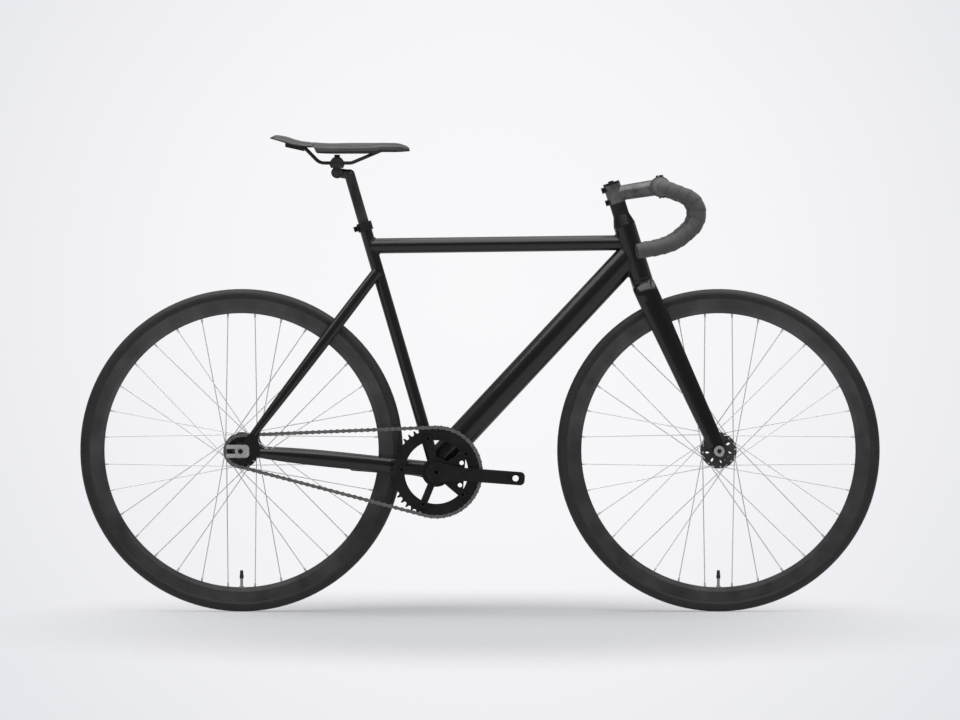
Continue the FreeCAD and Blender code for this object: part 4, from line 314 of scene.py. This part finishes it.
def hoop(name, centre, axis, section, finish, steps=72):
    """A ring of the given section, its points a radius and a height along the axis, closed all round."""
    first = axis.orthogonal().normalized()
    second = axis.cross(first)
    body = bmesh.new()
    loops = []
    for step in range(steps):
        turn = 2 * math.pi * step / steps
        out = first * math.cos(turn) + second * math.sin(turn)
        loops.append([body.verts.new(centre + out * radius + axis * height) for radius, height in section])
    for here, after in zip(loops, loops[1:] + loops[:1]):
        for i, spot in enumerate(here):
            body.faces.new((spot, here[i - 1], after[i - 1], after[i]))
    bmesh.ops.recalc_face_normals(body, faces=body.faces)
    mesh = bpy.data.meshes.new(name)
    body.to_mesh(mesh)
    body.free()
    mesh.materials.append(finish)
    return placed(name, mesh)


seal_section = ((0.0213, 0.0), (0.0226, 0.0), (0.0228, 0.001), (0.0224, 0.0024), (0.0213, 0.0024))
crown_top = 0.38712
seal = hoop("crown_seal", steer_foot + steer_up * crown_top, steer_up, seal_section,
            moulded_plastic("seal_rubber", (0.008, 0.008, 0.008), (0.014, 0.014, 0.014)))
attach(seal, "fork")

# Black fittings: stem, bar, headset, seatpost and clamps are turned or forged aluminium.
# Anodising leaves them a dense satin black that goes slightly grey where hands and tools rub; the stem's much
# lighter grey is partly painted highlight.
fittings_black = anodised("fittings_black", 0.4, 1600.0, (0.022, 0.022, 0.024))
dress(fittings_black, "seat_clamp", "headset_cover", "headset_spacers", "headset_top_cap", "handlebar",
      "bottom_bracket_cups")
dress(anodised("post_satin", 0.36, 1600.0, (0.06, 0.06, 0.062)), "seatpost", "saddle_clamp")
# Painted highlight in part: the stem and faceplate rub to a far lighter grey than the other fittings, for the
# overhead bank's reflection on the neck as well as their own grey satin.
dress(anodised("stem_satin_and_sheen", 0.34, 1600.0, (0.17, 0.17, 0.172)), "stem", "stem_faceplate")

# Steel small parts: nuts, bearings, spindle and wear plates are plated, axles and bolts are blackened.
# The plated ones are the few bright points on a black machine, lightly scratched by spanners.


def bare_metal(name, light, dark, rough, scale, scratch):
    finish, tree, shader = blank_finish(name)
    place = lay(tree, "TexCoord").outputs["Object"]
    drawn = lay(tree, "Mapping", {"Vector": place, "Scale": scratch}).outputs[0]
    cloud = noise(tree, place, scale, 6.0)
    lines = noise(tree, drawn, 60.0, 3.0)
    mixed = sums(tree, "MULTIPLY", cloud, lines)
    join(tree, shader,
         Base_Color=shade(tree, mixed, (0.1, dark), (0.5, light)),
         Roughness=spread(tree, lines, rough - 0.09, rough + 0.12),
         Normal=dents(tree, lines, 0.1, 0.0004))
    shader.inputs["Metallic"].default_value = 1.0
    return finish


small_steel = bare_metal("small_steel", (0.82, 0.82, 0.83), (0.6, 0.6, 0.61), 0.42, 240.0, (6.0, 6.0, 6.0))
dress(small_steel, "track_end_face_plates", "crank_spindle", "front_axle_nuts", "rear_axle_nuts",
      "front_hub_bearings", "rear_hub_bearings")
black_steel = bare_metal("black_steel", (0.07, 0.07, 0.072), (0.025, 0.025, 0.026), 0.34, 300.0,
                         (5.0, 5.0, 5.0))
dress(black_steel, "stem_bolts", "chainring_bolts", "crank_bolts", "headset_bearings", "cog_lockring",
      "front_axle", "rear_axle")

# Bolt sockets: each bolt is driven by a six-sided key, and its head keeps the shape of the key's well.
# No hollow is cut: each well is a near-black, dull six-sided plug standing a hair proud of the head, painted
# shade for the well's dark inside.
stem_ahead = Vector((0.98769, 0.0, 0.15643))
faceplate_bolt_reach = 0.012
well_depth, well_stand = 0.0008, 0.00012
key_4, key_5, key_6, key_8 = 0.0046, 0.0058, 0.0068, 0.0092


def lumps(node):
    """The separate solids of a piece, each as a list of its points."""
    body = bmesh.new()
    body.from_mesh(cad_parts[node].data)
    bmesh.ops.remove_doubles(body, verts=body.verts, dist=0.000001)
    unseen = set(body.verts)
    found = []
    while unseen:
        waiting = [unseen.pop()]
        points = []
        while waiting:
            spot = waiting.pop()
            points.append(spot.co.copy())
            for edge in spot.link_edges:
                other = edge.other_vert(spot)
                if other in unseen:
                    unseen.remove(other)
                    waiting.append(other)
        found.append(points)
    body.free()
    return found


def head_face(points, axis):
    """The middle of the flat face that a solid turns towards an axis."""
    top = max(point.dot(axis) for point in points)
    face = [point for point in points if point.dot(axis) > top - 0.0001]
    low = Vector(min(point[i] for point in face) for i in range(3))
    high = Vector(max(point[i] for point in face) for i in range(3))
    return (low + high) / 2


def turned_tool():
    tree, entry, exit_, sockets = node_tool("turned_run", [
        ("Sides", "Int", 32), ("Finish", "Material", None)])
    ring = step_node(tree, "GeometryNodeCurvePrimitiveCircle",
                     {"Resolution": entry.outputs["Sides"], "Radius": 1.0})
    girth = step_node(tree, "GeometryNodeInputRadius")
    body = step_node(tree, "GeometryNodeCurveToMesh", {
        "Curve": entry.outputs["Geometry"], "Profile Curve": ring.outputs["Curve"],
        "Scale": girth.outputs["Radius"], "Fill Caps": True})
    flat = step_node(tree, "GeometryNodeSetShadeSmooth",
                     {"Geometry": body.outputs["Mesh"], "Shade Smooth": False})
    real = step_node(tree, "GeometryNodeRealizeInstances", {"Geometry": flat.outputs["Geometry"]})
    painted = step_node(tree, "GeometryNodeSetMaterial",
                        {"Geometry": real.outputs["Geometry"], "Material": entry.outputs["Finish"]})
    tree.links.new(painted.outputs["Geometry"], exit_.inputs["Geometry"])
    return tree, sockets


def well(spot, axis, across):
    """A short run through a head's face, for a well so far across its corners."""
    return [(*(spot - axis * well_depth), across / 2), (*(spot + axis * well_stand), across / 2)]


turned_tree, turned_sockets = turned_tool()
# Painted shade: this near-black finish stands in for the shaded inside of the key's well.
painted_well_shade = bare_metal("painted_well_shade", (0.012, 0.011, 0.01), (0.004, 0.004, 0.004), 0.62, 500.0,
                         (3.0, 3.0, 3.0))
right = -sideways
upward = Vector((0.0, 0.0, 1.0))
fork_wells = []
for points in lumps("stem_bolts"):
    places = [point.dot(stem_ahead) for point in points]
    axis = stem_ahead if max(places) - min(places) > faceplate_bolt_reach else right
    fork_wells.append(well(head_face(points, axis), axis, key_4))
cap_points = max(lumps("headset_top_cap"), key=lambda points: max(point.dot(steer_up) for point in points))
fork_wells.append(well(head_face(cap_points, steer_up), steer_up, key_5))
crank_wells = [well(head_face(points, right), right, key_6) for points in lumps("chainring_bolts")]
for points in lumps("crank_bolts"):
    axis = right if sum(point.y for point in points) < 0 else sideways
    crank_wells.append(well(head_face(points, axis), axis, key_8))
seat_points = max(lumps("saddle_clamp"), key=lambda points: max(point.z for point in points))
seat_wells = [well(head_face(seat_points, upward), upward, key_6)]
collar_points = min(lumps("seat_clamp"), key=len)
frame_wells = [well(head_face(collar_points, right), right, key_5)]
wells = (("fork", fork_wells), ("crankset", crank_wells), ("seat", seat_wells), ("frame", frame_wells))
for body, runs in wells:
    piece = grown(body + "_bolt_wells", polyline(body + "_well_runs", runs), turned_tree, turned_sockets,
                  {"Sides": 6, "Finish": painted_well_shade})
    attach(piece, body)

# Wheels: deep black rims, high-flange black hubs and thin drawn spokes with plated nipples.
# The rims and hubs are turned before anodising, so fine rings run round them.


def about_axle(tree, place, centre):
    """Places measured from a wheel's axle, and how far each lies from it."""
    about = lay(tree, "Mapping", {"Vector": place, "Location": -centre}).outputs[0]
    axes = lay(tree, "SeparateXYZ", {"Vector": about}).outputs
    flat = lay(tree, "CombineXYZ", {"X": axes["X"], "Y": 0.0, "Z": axes["Z"]})
    return axes, lay(tree, "VectorMath", {0: flat.outputs[0]}, operation="LENGTH").outputs["Value"]


def turned_black(name, centre, rough, rings):
    finish, tree, shader = blank_finish(name)
    place = lay(tree, "TexCoord").outputs["Object"]
    _, reach = about_axle(tree, place, centre)
    ring = lay(tree, "TexNoise", {"W": reach, "Scale": rings, "Detail": 2.0},
               noise_dimensions="1D").outputs["Fac"]
    rubbed = noise(tree, place, 18.0, 8.0)
    join(tree, shader,
         Base_Color=shade(tree, rubbed, (0.35, (0.055, 0.055, 0.056)), (0.7, (0.095, 0.095, 0.097))),
         Roughness=spread(tree, ring, rough - 0.08, rough + 0.1),
         Normal=dents(tree, ring, 0.06, 0.0003))
    shader.inputs["Metallic"].default_value = 0.5
    return finish


spoke_wire = bare_metal("spoke_wire", (0.9, 0.9, 0.91), (0.78, 0.78, 0.79), 0.5, 90.0, (1.0, 1.0, 1.0))
wheels = (("front", front_axle), ("rear", rear_axle))
for end, axle in wheels:
    dress(turned_black(end + "_rim_black", axle, 0.3, 2600.0), end + "_rim")
    dress(turned_black(end + "_hub_black", axle, 0.34, 1800.0), end + "_hub_shell")
    dress(spoke_wire, end + "_spokes")

# Tyres: smooth road tyres of black rubber, with a fine file tread over the middle band.
# The side walls keep the moulding's rings and carry no marks.
cut_count, cut_slope = 620.0, 2080.0
tread_start, tread_full = 0.3305, 0.3325
wall_rings = 3600.0


def rolled_rubber(name, centre):
    finish, tree, shader = blank_finish(name)
    place = lay(tree, "TexCoord").outputs["Object"]
    axes, reach = about_axle(tree, place, centre)
    turn = sums(tree, "ARCTAN2", axes["Z"], axes["X"])
    cuts = []
    for slope in (cut_slope, -cut_slope):
        slant = sums(tree, "ADD", sums(tree, "MULTIPLY", turn, cut_count),
                     sums(tree, "MULTIPLY", axes["Y"], slope))
        cuts.append(sums(tree, "SINE", slant))
    diamonds = sums(tree, "MINIMUM", cuts[0], cuts[1])
    tread = lay(tree, "MapRange",
                {"Value": reach, "From Min": tread_start, "From Max": tread_full}).outputs[0]
    rings = sums(tree, "SINE", sums(tree, "MULTIPLY", reach, wall_rings))
    wall = sums(tree, "SUBTRACT", 1.0, tread)
    relief = sums(tree, "ADD", sums(tree, "MULTIPLY", diamonds, tread),
                  sums(tree, "MULTIPLY", sums(tree, "MULTIPLY", rings, wall), 0.25))
    cloud = noise(tree, place, 30.0, 8.0)
    join(tree, shader,
         Base_Color=shade(tree, cloud, (0.3, (0.011, 0.011, 0.0115)), (0.7, (0.021, 0.021, 0.022))),
         Roughness=spread(tree, cloud, 0.48, 0.68),
         Normal=dents(tree, relief, 0.25, 0.0004))
    return finish


for end, axle in wheels:
    dress(rolled_rubber(end + "_tyre_rubber", axle), end + "_tyre")

# Valves: the inner tube's brass stem comes out through the rim, held by a thin ring nut.
# A screwed cap of black plastic keeps dirt from its end. Each turning is heights and radii.
valve_metal = bare_metal("valve_metal", (0.6, 0.59, 0.56), (0.4, 0.39, 0.37), 0.3, 300.0, (4.0, 4.0, 4.0))
cap_plastic = moulded_plastic("cap_plastic", (0.012, 0.012, 0.012), (0.02, 0.02, 0.021))
nut_turning = ((0.0509, 0.0048), (0.0512, 0.0052), (0.0528, 0.0052), (0.0531, 0.0048))
cap_turning = ((0.0690, 0.0040), (0.0694, 0.0043), (0.0760, 0.0043), (0.0764, 0.0037), (0.0845, 0.0034),
               (0.0862, 0.0022))
for end, axle in wheels:
    dress(valve_metal, end + "_inner_tube")
    for part, turning, finish, slot in (("nut", nut_turning, valve_metal, "bright_steel"),
                                        ("cap", cap_turning, cap_plastic, "dark_plastic")):
        run = [(axle.x, 0.0, height, radius) for height, radius in turning]
        piece = grown(f"{end}_valve_{part}", polyline(end + part, [run]), turned_tree, turned_sockets,
                      {"Sides": 28, "Finish": finish})
        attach(piece, end + "_wheel")

# Bar tape: soft cork tape is wound round each side of the bar, every turn lapping the one before it.
# It starts at the plug in the bar's end and stops over the bulge beside the stem.
bar_centre = Vector((0.37484, 0.0, 0.88462))
bar_half_width, bulge_share = 0.2, 0.135
tape_step, bulge_end, bulge_gone, lap_steepness = 0.0016, 0.033, 0.047, 11.0
strip_end, strip_gone = 0.012, 0.0125
tape_corners = ((0.0, 1.0, 0.0, 0.042), (0.08, 1.0, -0.0302, 0.038), (0.0713, 1.0, -0.0794, 0.047),
                (0.0285, 1.0, -0.1165, 0.095), (-0.014, 1.0, -0.1285, 0.2), (-0.05, 1.0, -0.1325, 0.0))


def tape_tool():
    tree, entry, exit_, sockets = node_tool("wound_tape", [
        ("Turn Pitch", "Float", 0.019), ("Lap", "Float", 0.001), ("Tape Radius", "Float", 0.0146),
        ("Bulge Share", "Float", 1.26), ("Finish", "Material", None)])
    bends = step_node(tree, "GeometryNodeInputRadius")
    bent = step_node(tree, "GeometryNodeFilletCurve", {
        "Curve": entry.outputs["Geometry"], "Count": 24, "Radius": bends.outputs["Radius"],
        "Limit Radius": True}, mode="POLY")
    even = step_node(tree, "GeometryNodeResampleCurve", {
        "Curve": bent.outputs["Curve"], "Length": tape_step}, mode="LENGTH")
    gone = step_node(tree, "GeometryNodeSplineParameter")
    marked = step_node(tree, "GeometryNodeStoreNamedAttribute", {
        "Geometry": even.outputs["Curve"], "Name": "along", "Value": gone.outputs["Length"]},
        data_type="FLOAT", domain="POINT")
    bulge = step_node(tree, "ShaderNodeMapRange", {
        "Value": gone.outputs["Length"], "From Min": bulge_end, "From Max": bulge_gone,
        "To Min": entry.outputs["Bulge Share"], "To Max": 1.0}, interpolation_type="SMOOTHSTEP")
    girth = sums(tree, "MULTIPLY", bulge.outputs[0], entry.outputs["Tape Radius"])
    sized = step_node(tree, "GeometryNodeSetCurveRadius",
                      {"Curve": marked.outputs["Geometry"], "Radius": girth})
    ring = step_node(tree, "GeometryNodeCurvePrimitiveCircle", {"Resolution": 40, "Radius": 1.0})
    round_ = step_node(tree, "GeometryNodeSplineParameter")
    rim = step_node(tree, "GeometryNodeStoreNamedAttribute", {
        "Geometry": ring.outputs["Curve"], "Name": "around", "Value": round_.outputs["Factor"]},
        data_type="FLOAT", domain="POINT")
    radius = step_node(tree, "GeometryNodeInputRadius")
    sleeve = step_node(tree, "GeometryNodeCurveToMesh", {
        "Curve": sized.outputs["Curve"], "Profile Curve": rim.outputs["Geometry"],
        "Scale": radius.outputs["Radius"]})
    along = step_node(tree, "GeometryNodeInputNamedAttribute", {"Name": "along"}, data_type="FLOAT")
    around = step_node(tree, "GeometryNodeInputNamedAttribute", {"Name": "around"}, data_type="FLOAT")
    turns = sums(tree, "DIVIDE", along.outputs[0], entry.outputs["Turn Pitch"])
    ramp = sums(tree, "FRACT", sums(tree, "ADD", turns, around.outputs[0]))
    fall = sums(tree, "MULTIPLY", sums(tree, "SUBTRACT", 1.0, ramp), lap_steepness)
    rise = sums(tree, "MULTIPLY", sums(tree, "MINIMUM", ramp, fall), entry.outputs["Lap"])
    facing = step_node(tree, "GeometryNodeInputNormal")
    lift = step_node(tree, "ShaderNodeVectorMath", {0: facing.outputs[0], "Scale": rise}, operation="SCALE")
    lapped = step_node(tree, "GeometryNodeSetPosition", {
        "Geometry": sleeve.outputs["Mesh"], "Offset": lift.outputs[0]})
    smooth = step_node(tree, "GeometryNodeSetShadeSmooth", {"Geometry": lapped.outputs["Geometry"]})
    real = step_node(tree, "GeometryNodeRealizeInstances", {"Geometry": smooth.outputs["Geometry"]})
    painted = step_node(tree, "GeometryNodeSetMaterial",
                        {"Geometry": real.outputs["Geometry"], "Material": entry.outputs["Finish"]})
    tree.links.new(painted.outputs["Geometry"], exit_.inputs["Geometry"])
    return tree, sockets


def cork_cloth(name):
    finish, tree, shader = blank_finish(name)
    place = lay(tree, "TexCoord").outputs["Object"]
    grain = lay(tree, "TexVoronoi", {"Vector": place, "Scale": 900.0}).outputs["Distance"]
    cloud = noise(tree, place, 35.0, 6.0)
    lap = lay(tree, "Attribute", attribute_name="along").outputs["Fac"]
    band = lay(tree, "MapRange", {"Value": lap, "From Min": strip_end, "From Max": strip_gone}).outputs[0]
    relief = sums(tree, "MULTIPLY", grain, band)
    mixed = sums(tree, "MULTIPLY", sums(tree, "ADD", sums(tree, "MULTIPLY", grain, 0.5), cloud), band)
    join(tree, shader,
         Base_Color=shade(tree, mixed, (0.05, (0.012, 0.012, 0.012)), (0.45, (0.045, 0.045, 0.046)),
                          (0.9, (0.09, 0.089, 0.09))),
         Roughness=spread(tree, sums(tree, "MULTIPLY", cloud, band), 0.45, 1.0),
         Normal=dents(tree, relief, 0.3, 0.0005))
    shader.inputs["Sheen Weight"].default_value = 0.15
    shader.inputs["Sheen Roughness"].default_value = 0.5
    return finish


tape_runs = []
for side in (bar_half_width, -bar_half_width):
    corners = [(bar_centre.x, side * bulge_share, bar_centre.z, 0.0)]
    for ahead, out, up, bend in tape_corners:
        corners.append((bar_centre.x + ahead, side * out, bar_centre.z + up, bend))
    tape_runs.append(corners)
tape_tree, tape_sockets = tape_tool()
tape = grown("wound_tape", polyline("tape_runs", tape_runs), tape_tree, tape_sockets, {
    "Turn Pitch": 0.019, "Lap": 0.0014, "Tape Radius": 0.0144, "Bulge Share": 1.26,
    "Finish": cork_cloth("tape_cork")})
wall = tape.modifiers.new("tape_thickness", "SOLIDIFY")
wall.thickness = 0.0024
wall.offset = -1.0
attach(tape, "fork")
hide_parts("bar_tape")
dress(cap_plastic, "bar_end_plugs")

# Drive: forged black cranks and a black chainring, a blackened cog and a plain bush chain.
# The cranks are satin, the ring is rubbed where the chain runs, and the chain is oiled bare steel.
drive_black = anodised("drive_black", 0.36, 1200.0, (0.02, 0.02, 0.022))
dress(drive_black, "crank_arm_right", "crank_arm_left", "chainring")
dress(black_steel, "cog")
chain_steel = bare_metal("chain_steel", (0.42, 0.42, 0.42), (0.2, 0.195, 0.19), 0.34, 700.0, (3.0, 3.0, 3.0))
dress(chain_steel, "chain_outer_links", "chain_inner_links")

# Saddle: a moulded plastic shell on two blackened steel rails, which plug into its nose and tail.
# A smooth hide is stretched over firm foam, with its side panels sewn on along the top's edges.
under_saddle, beside_saddle, over_saddle = 0.8, 0.3, 1.1
foam_inset, hide_stretch = 0.0008, 0.0012
dress(moulded_plastic("shell_plastic", (0.014, 0.014, 0.014), (0.022, 0.022, 0.023)), "saddle_shell")
rail_black = bare_metal("rail_black", (0.07, 0.07, 0.07), (0.03, 0.03, 0.03), 0.36, 120.0, (1.0, 9.0, 9.0))
dress(rail_black, "saddle_rails")


def smooth_hide(name):
    finish, tree, shader = blank_finish(name)
    place = lay(tree, "TexCoord").outputs["Object"]
    pores = lay(tree, "TexVoronoi", {"Vector": place, "Scale": 1300.0},
                feature="DISTANCE_TO_EDGE").outputs["Distance"]
    creases = noise(tree, place, 150.0, 6.0, Roughness=0.7)
    cloud = noise(tree, place, 16.0, 5.0)
    relief = sums(tree, "ADD", sums(tree, "MULTIPLY", pores, 1.2), sums(tree, "MULTIPLY", creases, 0.5))
    join(tree, shader,
         Base_Color=shade(tree, cloud, (0.3, (0.05, 0.05, 0.05)), (0.7, (0.075, 0.075, 0.074))),
         Roughness=spread(tree, cloud, 0.4, 0.6),
         Normal=dents(tree, relief, 0.2, 0.0004))
    return finish


def foam_blank():
    """The pad's rough shape, a little under size and evenly meshed."""
    body = bmesh.new()
    body.from_mesh(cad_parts["saddle_cover"].data)
    bmesh.ops.remove_doubles(body, verts=body.verts, dist=0.00001)
    bmesh.ops.recalc_face_normals(body, faces=body.faces)
    body.normal_update()
    outer = BVHTree.FromBMesh(body)
    ends = [pick(spot.co.x for spot in body.verts) for pick in (min, max)]
    for spot, inward in [(spot, spot.normal.copy()) for spot in body.verts]:
        spot.co -= inward * foam_inset
    mesh = bpy.data.meshes.new("saddle_blank")
    body.to_mesh(mesh)
    body.free()
    blank = placed("saddle_blank", mesh)
    even = blank.modifiers.new("even_mesh", "REMESH")
    even.mode, even.voxel_size = "VOXEL", 0.0022
    worn = blank.modifiers.new("rounded_edges", "SMOOTH")
    worn.factor, worn.iterations = 0.5, 5
    return baked("saddle_pad", blank), outer, ends


def eased(share):
    """A share held between 0 and 1 and made to start and stop gently."""
    share = max(0.0, min(1.0, share))
    return share * share * (3.0 - 2.0 * share)


def seated(pad, outer, ends):
    """Draws the pad to the shell's length, lays it on the shell and turns its edge down over the rim."""
    overhang, end_reach = 0.0012, 0.008
    lip_height, lip_drop, lip_width_share = 0.007, 0.0048, 0.16
    first, last = ends[0] - overhang, ends[1] + overhang
    body = bmesh.new()
    body.from_mesh(pad.data)
    tail, nose = [pick(spot.co.x for spot in body.verts) for pick in (min, max)]
    edge_spots = []
    for spot in body.verts:
        spot.co.x = first + (spot.co.x - tail) * (last - first) / (nose - tail)
        inside = min(max(spot.co.x, ends[0] + 2 * overhang), ends[1] - 2 * overhang)
        base = outer.ray_cast(Vector((inside, 0.0, under_saddle)), upward)[0]
        edge = outer.ray_cast(Vector((inside, -beside_saddle, base.z + 0.001)), sideways)[0]
        out_share = abs(spot.co.y) / abs(edge.y) if edge is not None else 1.0
        end_share = 1.0 - min(spot.co.x - first, last - spot.co.x) / end_reach
        rim = max(eased((out_share - 1.0 + lip_width_share) / lip_width_share), eased(end_share))
        height = spot.co.z - base.z
        low = 1.0 - eased(height / lip_height)
        spot.co.z -= rim * low * lip_drop
        if height < 0.5 * lip_height:
            spot.co.z -= (1.0 - rim) * height
        if low > 0.0 and rim > 0.0:
            edge_spots.append(spot)
    for _ in range(12):
        bmesh.ops.smooth_vert(body, verts=edge_spots, factor=0.5,
                              use_axis_x=True, use_axis_y=True, use_axis_z=True)
    body.to_mesh(pad.data)
    body.free()


def stretched(pad, most):
    """Lets the hide swell over the foam like cloth held down at the shell, no point moving past the most."""
    rest = [spot.co.copy() for spot in pad.data.vertices]
    held = pad.vertex_groups.new(name="glued_edge")
    held.add([spot.index for spot in pad.data.vertices if spot.normal.z < -0.35], 1.0, "REPLACE")
    hide = pad.modifiers.new("hide", "CLOTH")
    hide.settings.vertex_group_mass = "glued_edge"
    hide.settings.use_pressure = True
    hide.settings.uniform_pressure_force = 4.0
    hide.settings.effector_weights.gravity = 0.0
    hide.point_cache.frame_start, hide.point_cache.frame_end = 1, 20
    for moment in range(1, 21):
        bpy.context.scene.frame_set(moment)
    seen = pad.evaluated_get(bpy.context.evaluated_depsgraph_get())
    moved = [spot.co.copy() for spot in seen.data.vertices]
    pad.modifiers.remove(hide)
    bpy.context.scene.frame_set(1)
    for spot, start, end in zip(pad.data.vertices, rest, moved):
        shift = end - start
        spot.co = start + shift * min(1.0, most / max(shift.length, 0.000001))


pad, full_size, full_ends = foam_blank()
stretched(pad, hide_stretch)
seated(pad, full_size, full_ends)
finer = pad.modifiers.new("finer", "SUBSURF")
finer.levels = finer.render_levels = 1
pad = baked("saddle_hide", pad)

# Seams: where the top and the side panels of the hide meet, they are sewn through in a shallow groove.
# The stitches are short runs of waxed thread, lying along the groove on each side.
saddle_tail, saddle_length = -0.43537, 0.289
seam_start, seam_span, seam_steps = 0.08, 0.84, 60
seam_tail_half, seam_narrowing = 0.058, 0.046
waist_start, waist_span = 0.25, 0.55
groove_depth, groove_width, groove_reach, stitch_sink = 0.0007, 0.0022, 0.006, 0.0002
seam_places = []
for step in range(seam_steps + 1):
    share = seam_start + seam_span * step / seam_steps
    waist = max(0.0, min(1.0, (share - waist_start) / waist_span))
    half = seam_tail_half - seam_narrowing * waist ** 0.8
    half *= min(1.0, 0.72 + share * 1.6)
    seam_places.append((saddle_tail + saddle_length * share, half))
surface = BVHTree.FromPolygons([spot.co for spot in pad.data.vertices],
                               [tuple(face.vertices) for face in pad.data.polygons])
seam_runs = []
for side in (1.0, -1.0):
    run = []
    for along, half in seam_places:
        spot, normal, _, _ = surface.ray_cast(Vector((along, side * half, over_saddle)), -upward)
        run.append(spot - normal * stitch_sink)
    seam_runs.append(run)
for spot in pad.data.vertices:
    for run in seam_runs:
        near = min((spot.co - point).length for point in run)
        if near < groove_reach and spot.normal.z > 0:
            spot.co -= spot.normal * (groove_depth * math.exp(-(near / groove_width) ** 2))
pad.data.materials.clear()
pad.data.materials.append(smooth_hide("cover_hide"))
for face in pad.data.polygons:
    face.use_smooth = True
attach(pad, "seat")
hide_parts("saddle_cover")
thread = moulded_plastic("waxed_thread", (0.03, 0.03, 0.03), (0.05, 0.05, 0.05))
stitches = grown("saddle_stitches", polyline("seam_runs", seam_runs), bead_tree, bead_sockets, {
    "Ripple Pitch": 0.0032, "Bead Radius": 0.0005, "Stretch": 2.4, "Finish": thread})
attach(stitches, "seat")

# Studio: a pale floor, darker than the white surround it fades into, whose oval fade paints a soft shadow
# band under the bike, with one broad bank of light overhead.
# The camera looks square at the chain side from far off, a little above the axles.
floor_mesh = bpy.data.meshes.new("studio_floor")
floor_mesh.from_pydata([(-6, -8, 0), (6, -8, 0), (6, 8, 0), (-6, 8, 0)], [], [(0, 1, 2, 3)])
floor = placed("studio_floor", floor_mesh)
floor_finish, tree, shader = blank_finish("studio_floor")
place = lay(tree, "TexCoord").outputs["Object"]
# Painted shadow: this oval fade, set a little towards the camera from the bike, shapes the darker floor into
# a soft shadow band; the bike's own cast shadow falls on it as well.
about = lay(tree, "Mapping", {
    "Vector": place, "Location": (0.0, 0.33, 0.0), "Scale": (0.85, 0.6, 1.0)}).outputs[0]
away = lay(tree, "VectorMath", {0: about}, operation="LENGTH").outputs["Value"]
cover = lay(tree, "MapRange", {
    "Value": away, "From Min": 0.3, "From Max": 0.95, "To Min": 1.0, "To Max": 0.0},
    interpolation_type="SMOOTHSTEP").outputs[0]
shader.inputs["Base Color"].default_value = (0.58, 0.585, 0.6, 1.0)
shader.inputs["Roughness"].default_value = 0.9
shader.inputs["Specular IOR Level"].default_value = 0.1
join(tree, shader, Alpha=cover)
floor_mesh.materials.append(floor_finish)

world = bpy.data.worlds.new("studio_air")
bpy.context.scene.world = world
world.use_nodes = True
tree = world.node_tree
sky = tree.nodes["Background"]
direction = lay(tree, "TexCoord").outputs["Generated"]
off_axis = lay(tree, "VectorMath", {0: direction, 1: (0.0, 1.0, -0.012)},
               operation="DISTANCE").outputs["Value"]
surround = shade(tree, sums(tree, "MULTIPLY", off_axis, 0.5),
                 (0.0, (0.95, 0.945, 0.96)), (0.0175, (0.92, 0.915, 0.94)), (0.0275, (0.87, 0.87, 0.9)),
                 (0.04, (0.79, 0.8, 0.835)), (0.06, (0.7, 0.71, 0.74)), (0.35, (0.4, 0.4, 0.41)),
                 (0.7, (0.26, 0.26, 0.265)), (1.0, (0.14, 0.14, 0.143)))
depth = lay(tree, "SeparateXYZ", {"Vector": direction}).outputs["Z"]
below = lay(tree, "MapRange", {"Value": depth, "From Min": -0.07, "From Max": -0.15},
            interpolation_type="SMOOTHSTEP").outputs[0]
whole = lay(tree, "MixRGB", {"Fac": below, "Color1": surround, "Color2": (0.62, 0.625, 0.64, 1.0)}).outputs[0]
tree.links.new(whole, sky.inputs["Color"])

lamp = bpy.data.lights.new("overhead_bank", "AREA")
lamp.shape = "RECTANGLE"
lamp.size, lamp.size_y, lamp.energy = 5.2, 4.4, 158.0
lamp_spot = Vector((0.0, -0.7, 3.2))
lamp_aim = Vector((0.0, -0.2, 0.5))
lamp_turn = (lamp_aim - lamp_spot).to_track_quat("-Z", "Y").to_matrix().to_4x4()
placed("overhead_bank", lamp).matrix_world = Matrix.Translation(lamp_spot) @ lamp_turn

rise = math.radians(1.2)
distance = 16.0
picture_width, aim_height = 1.9987, 0.524
view = bpy.data.cameras.new("chain_side_camera")
view.sensor_width = 36.0
view.lens = view.sensor_width * distance / picture_width
view.clip_end = 100.0
camera = placed("chain_side_camera", view)
aim = Vector((0.0, 0.0, aim_height))
camera.location = aim + Vector((0.0, -math.cos(rise), math.sin(rise))) * distance
camera.rotation_euler = (aim - camera.location).to_track_quat("-Z", "Y").to_euler()
bpy.context.scene.camera = camera
bpy.context.scene.view_settings.view_transform = "Standard"
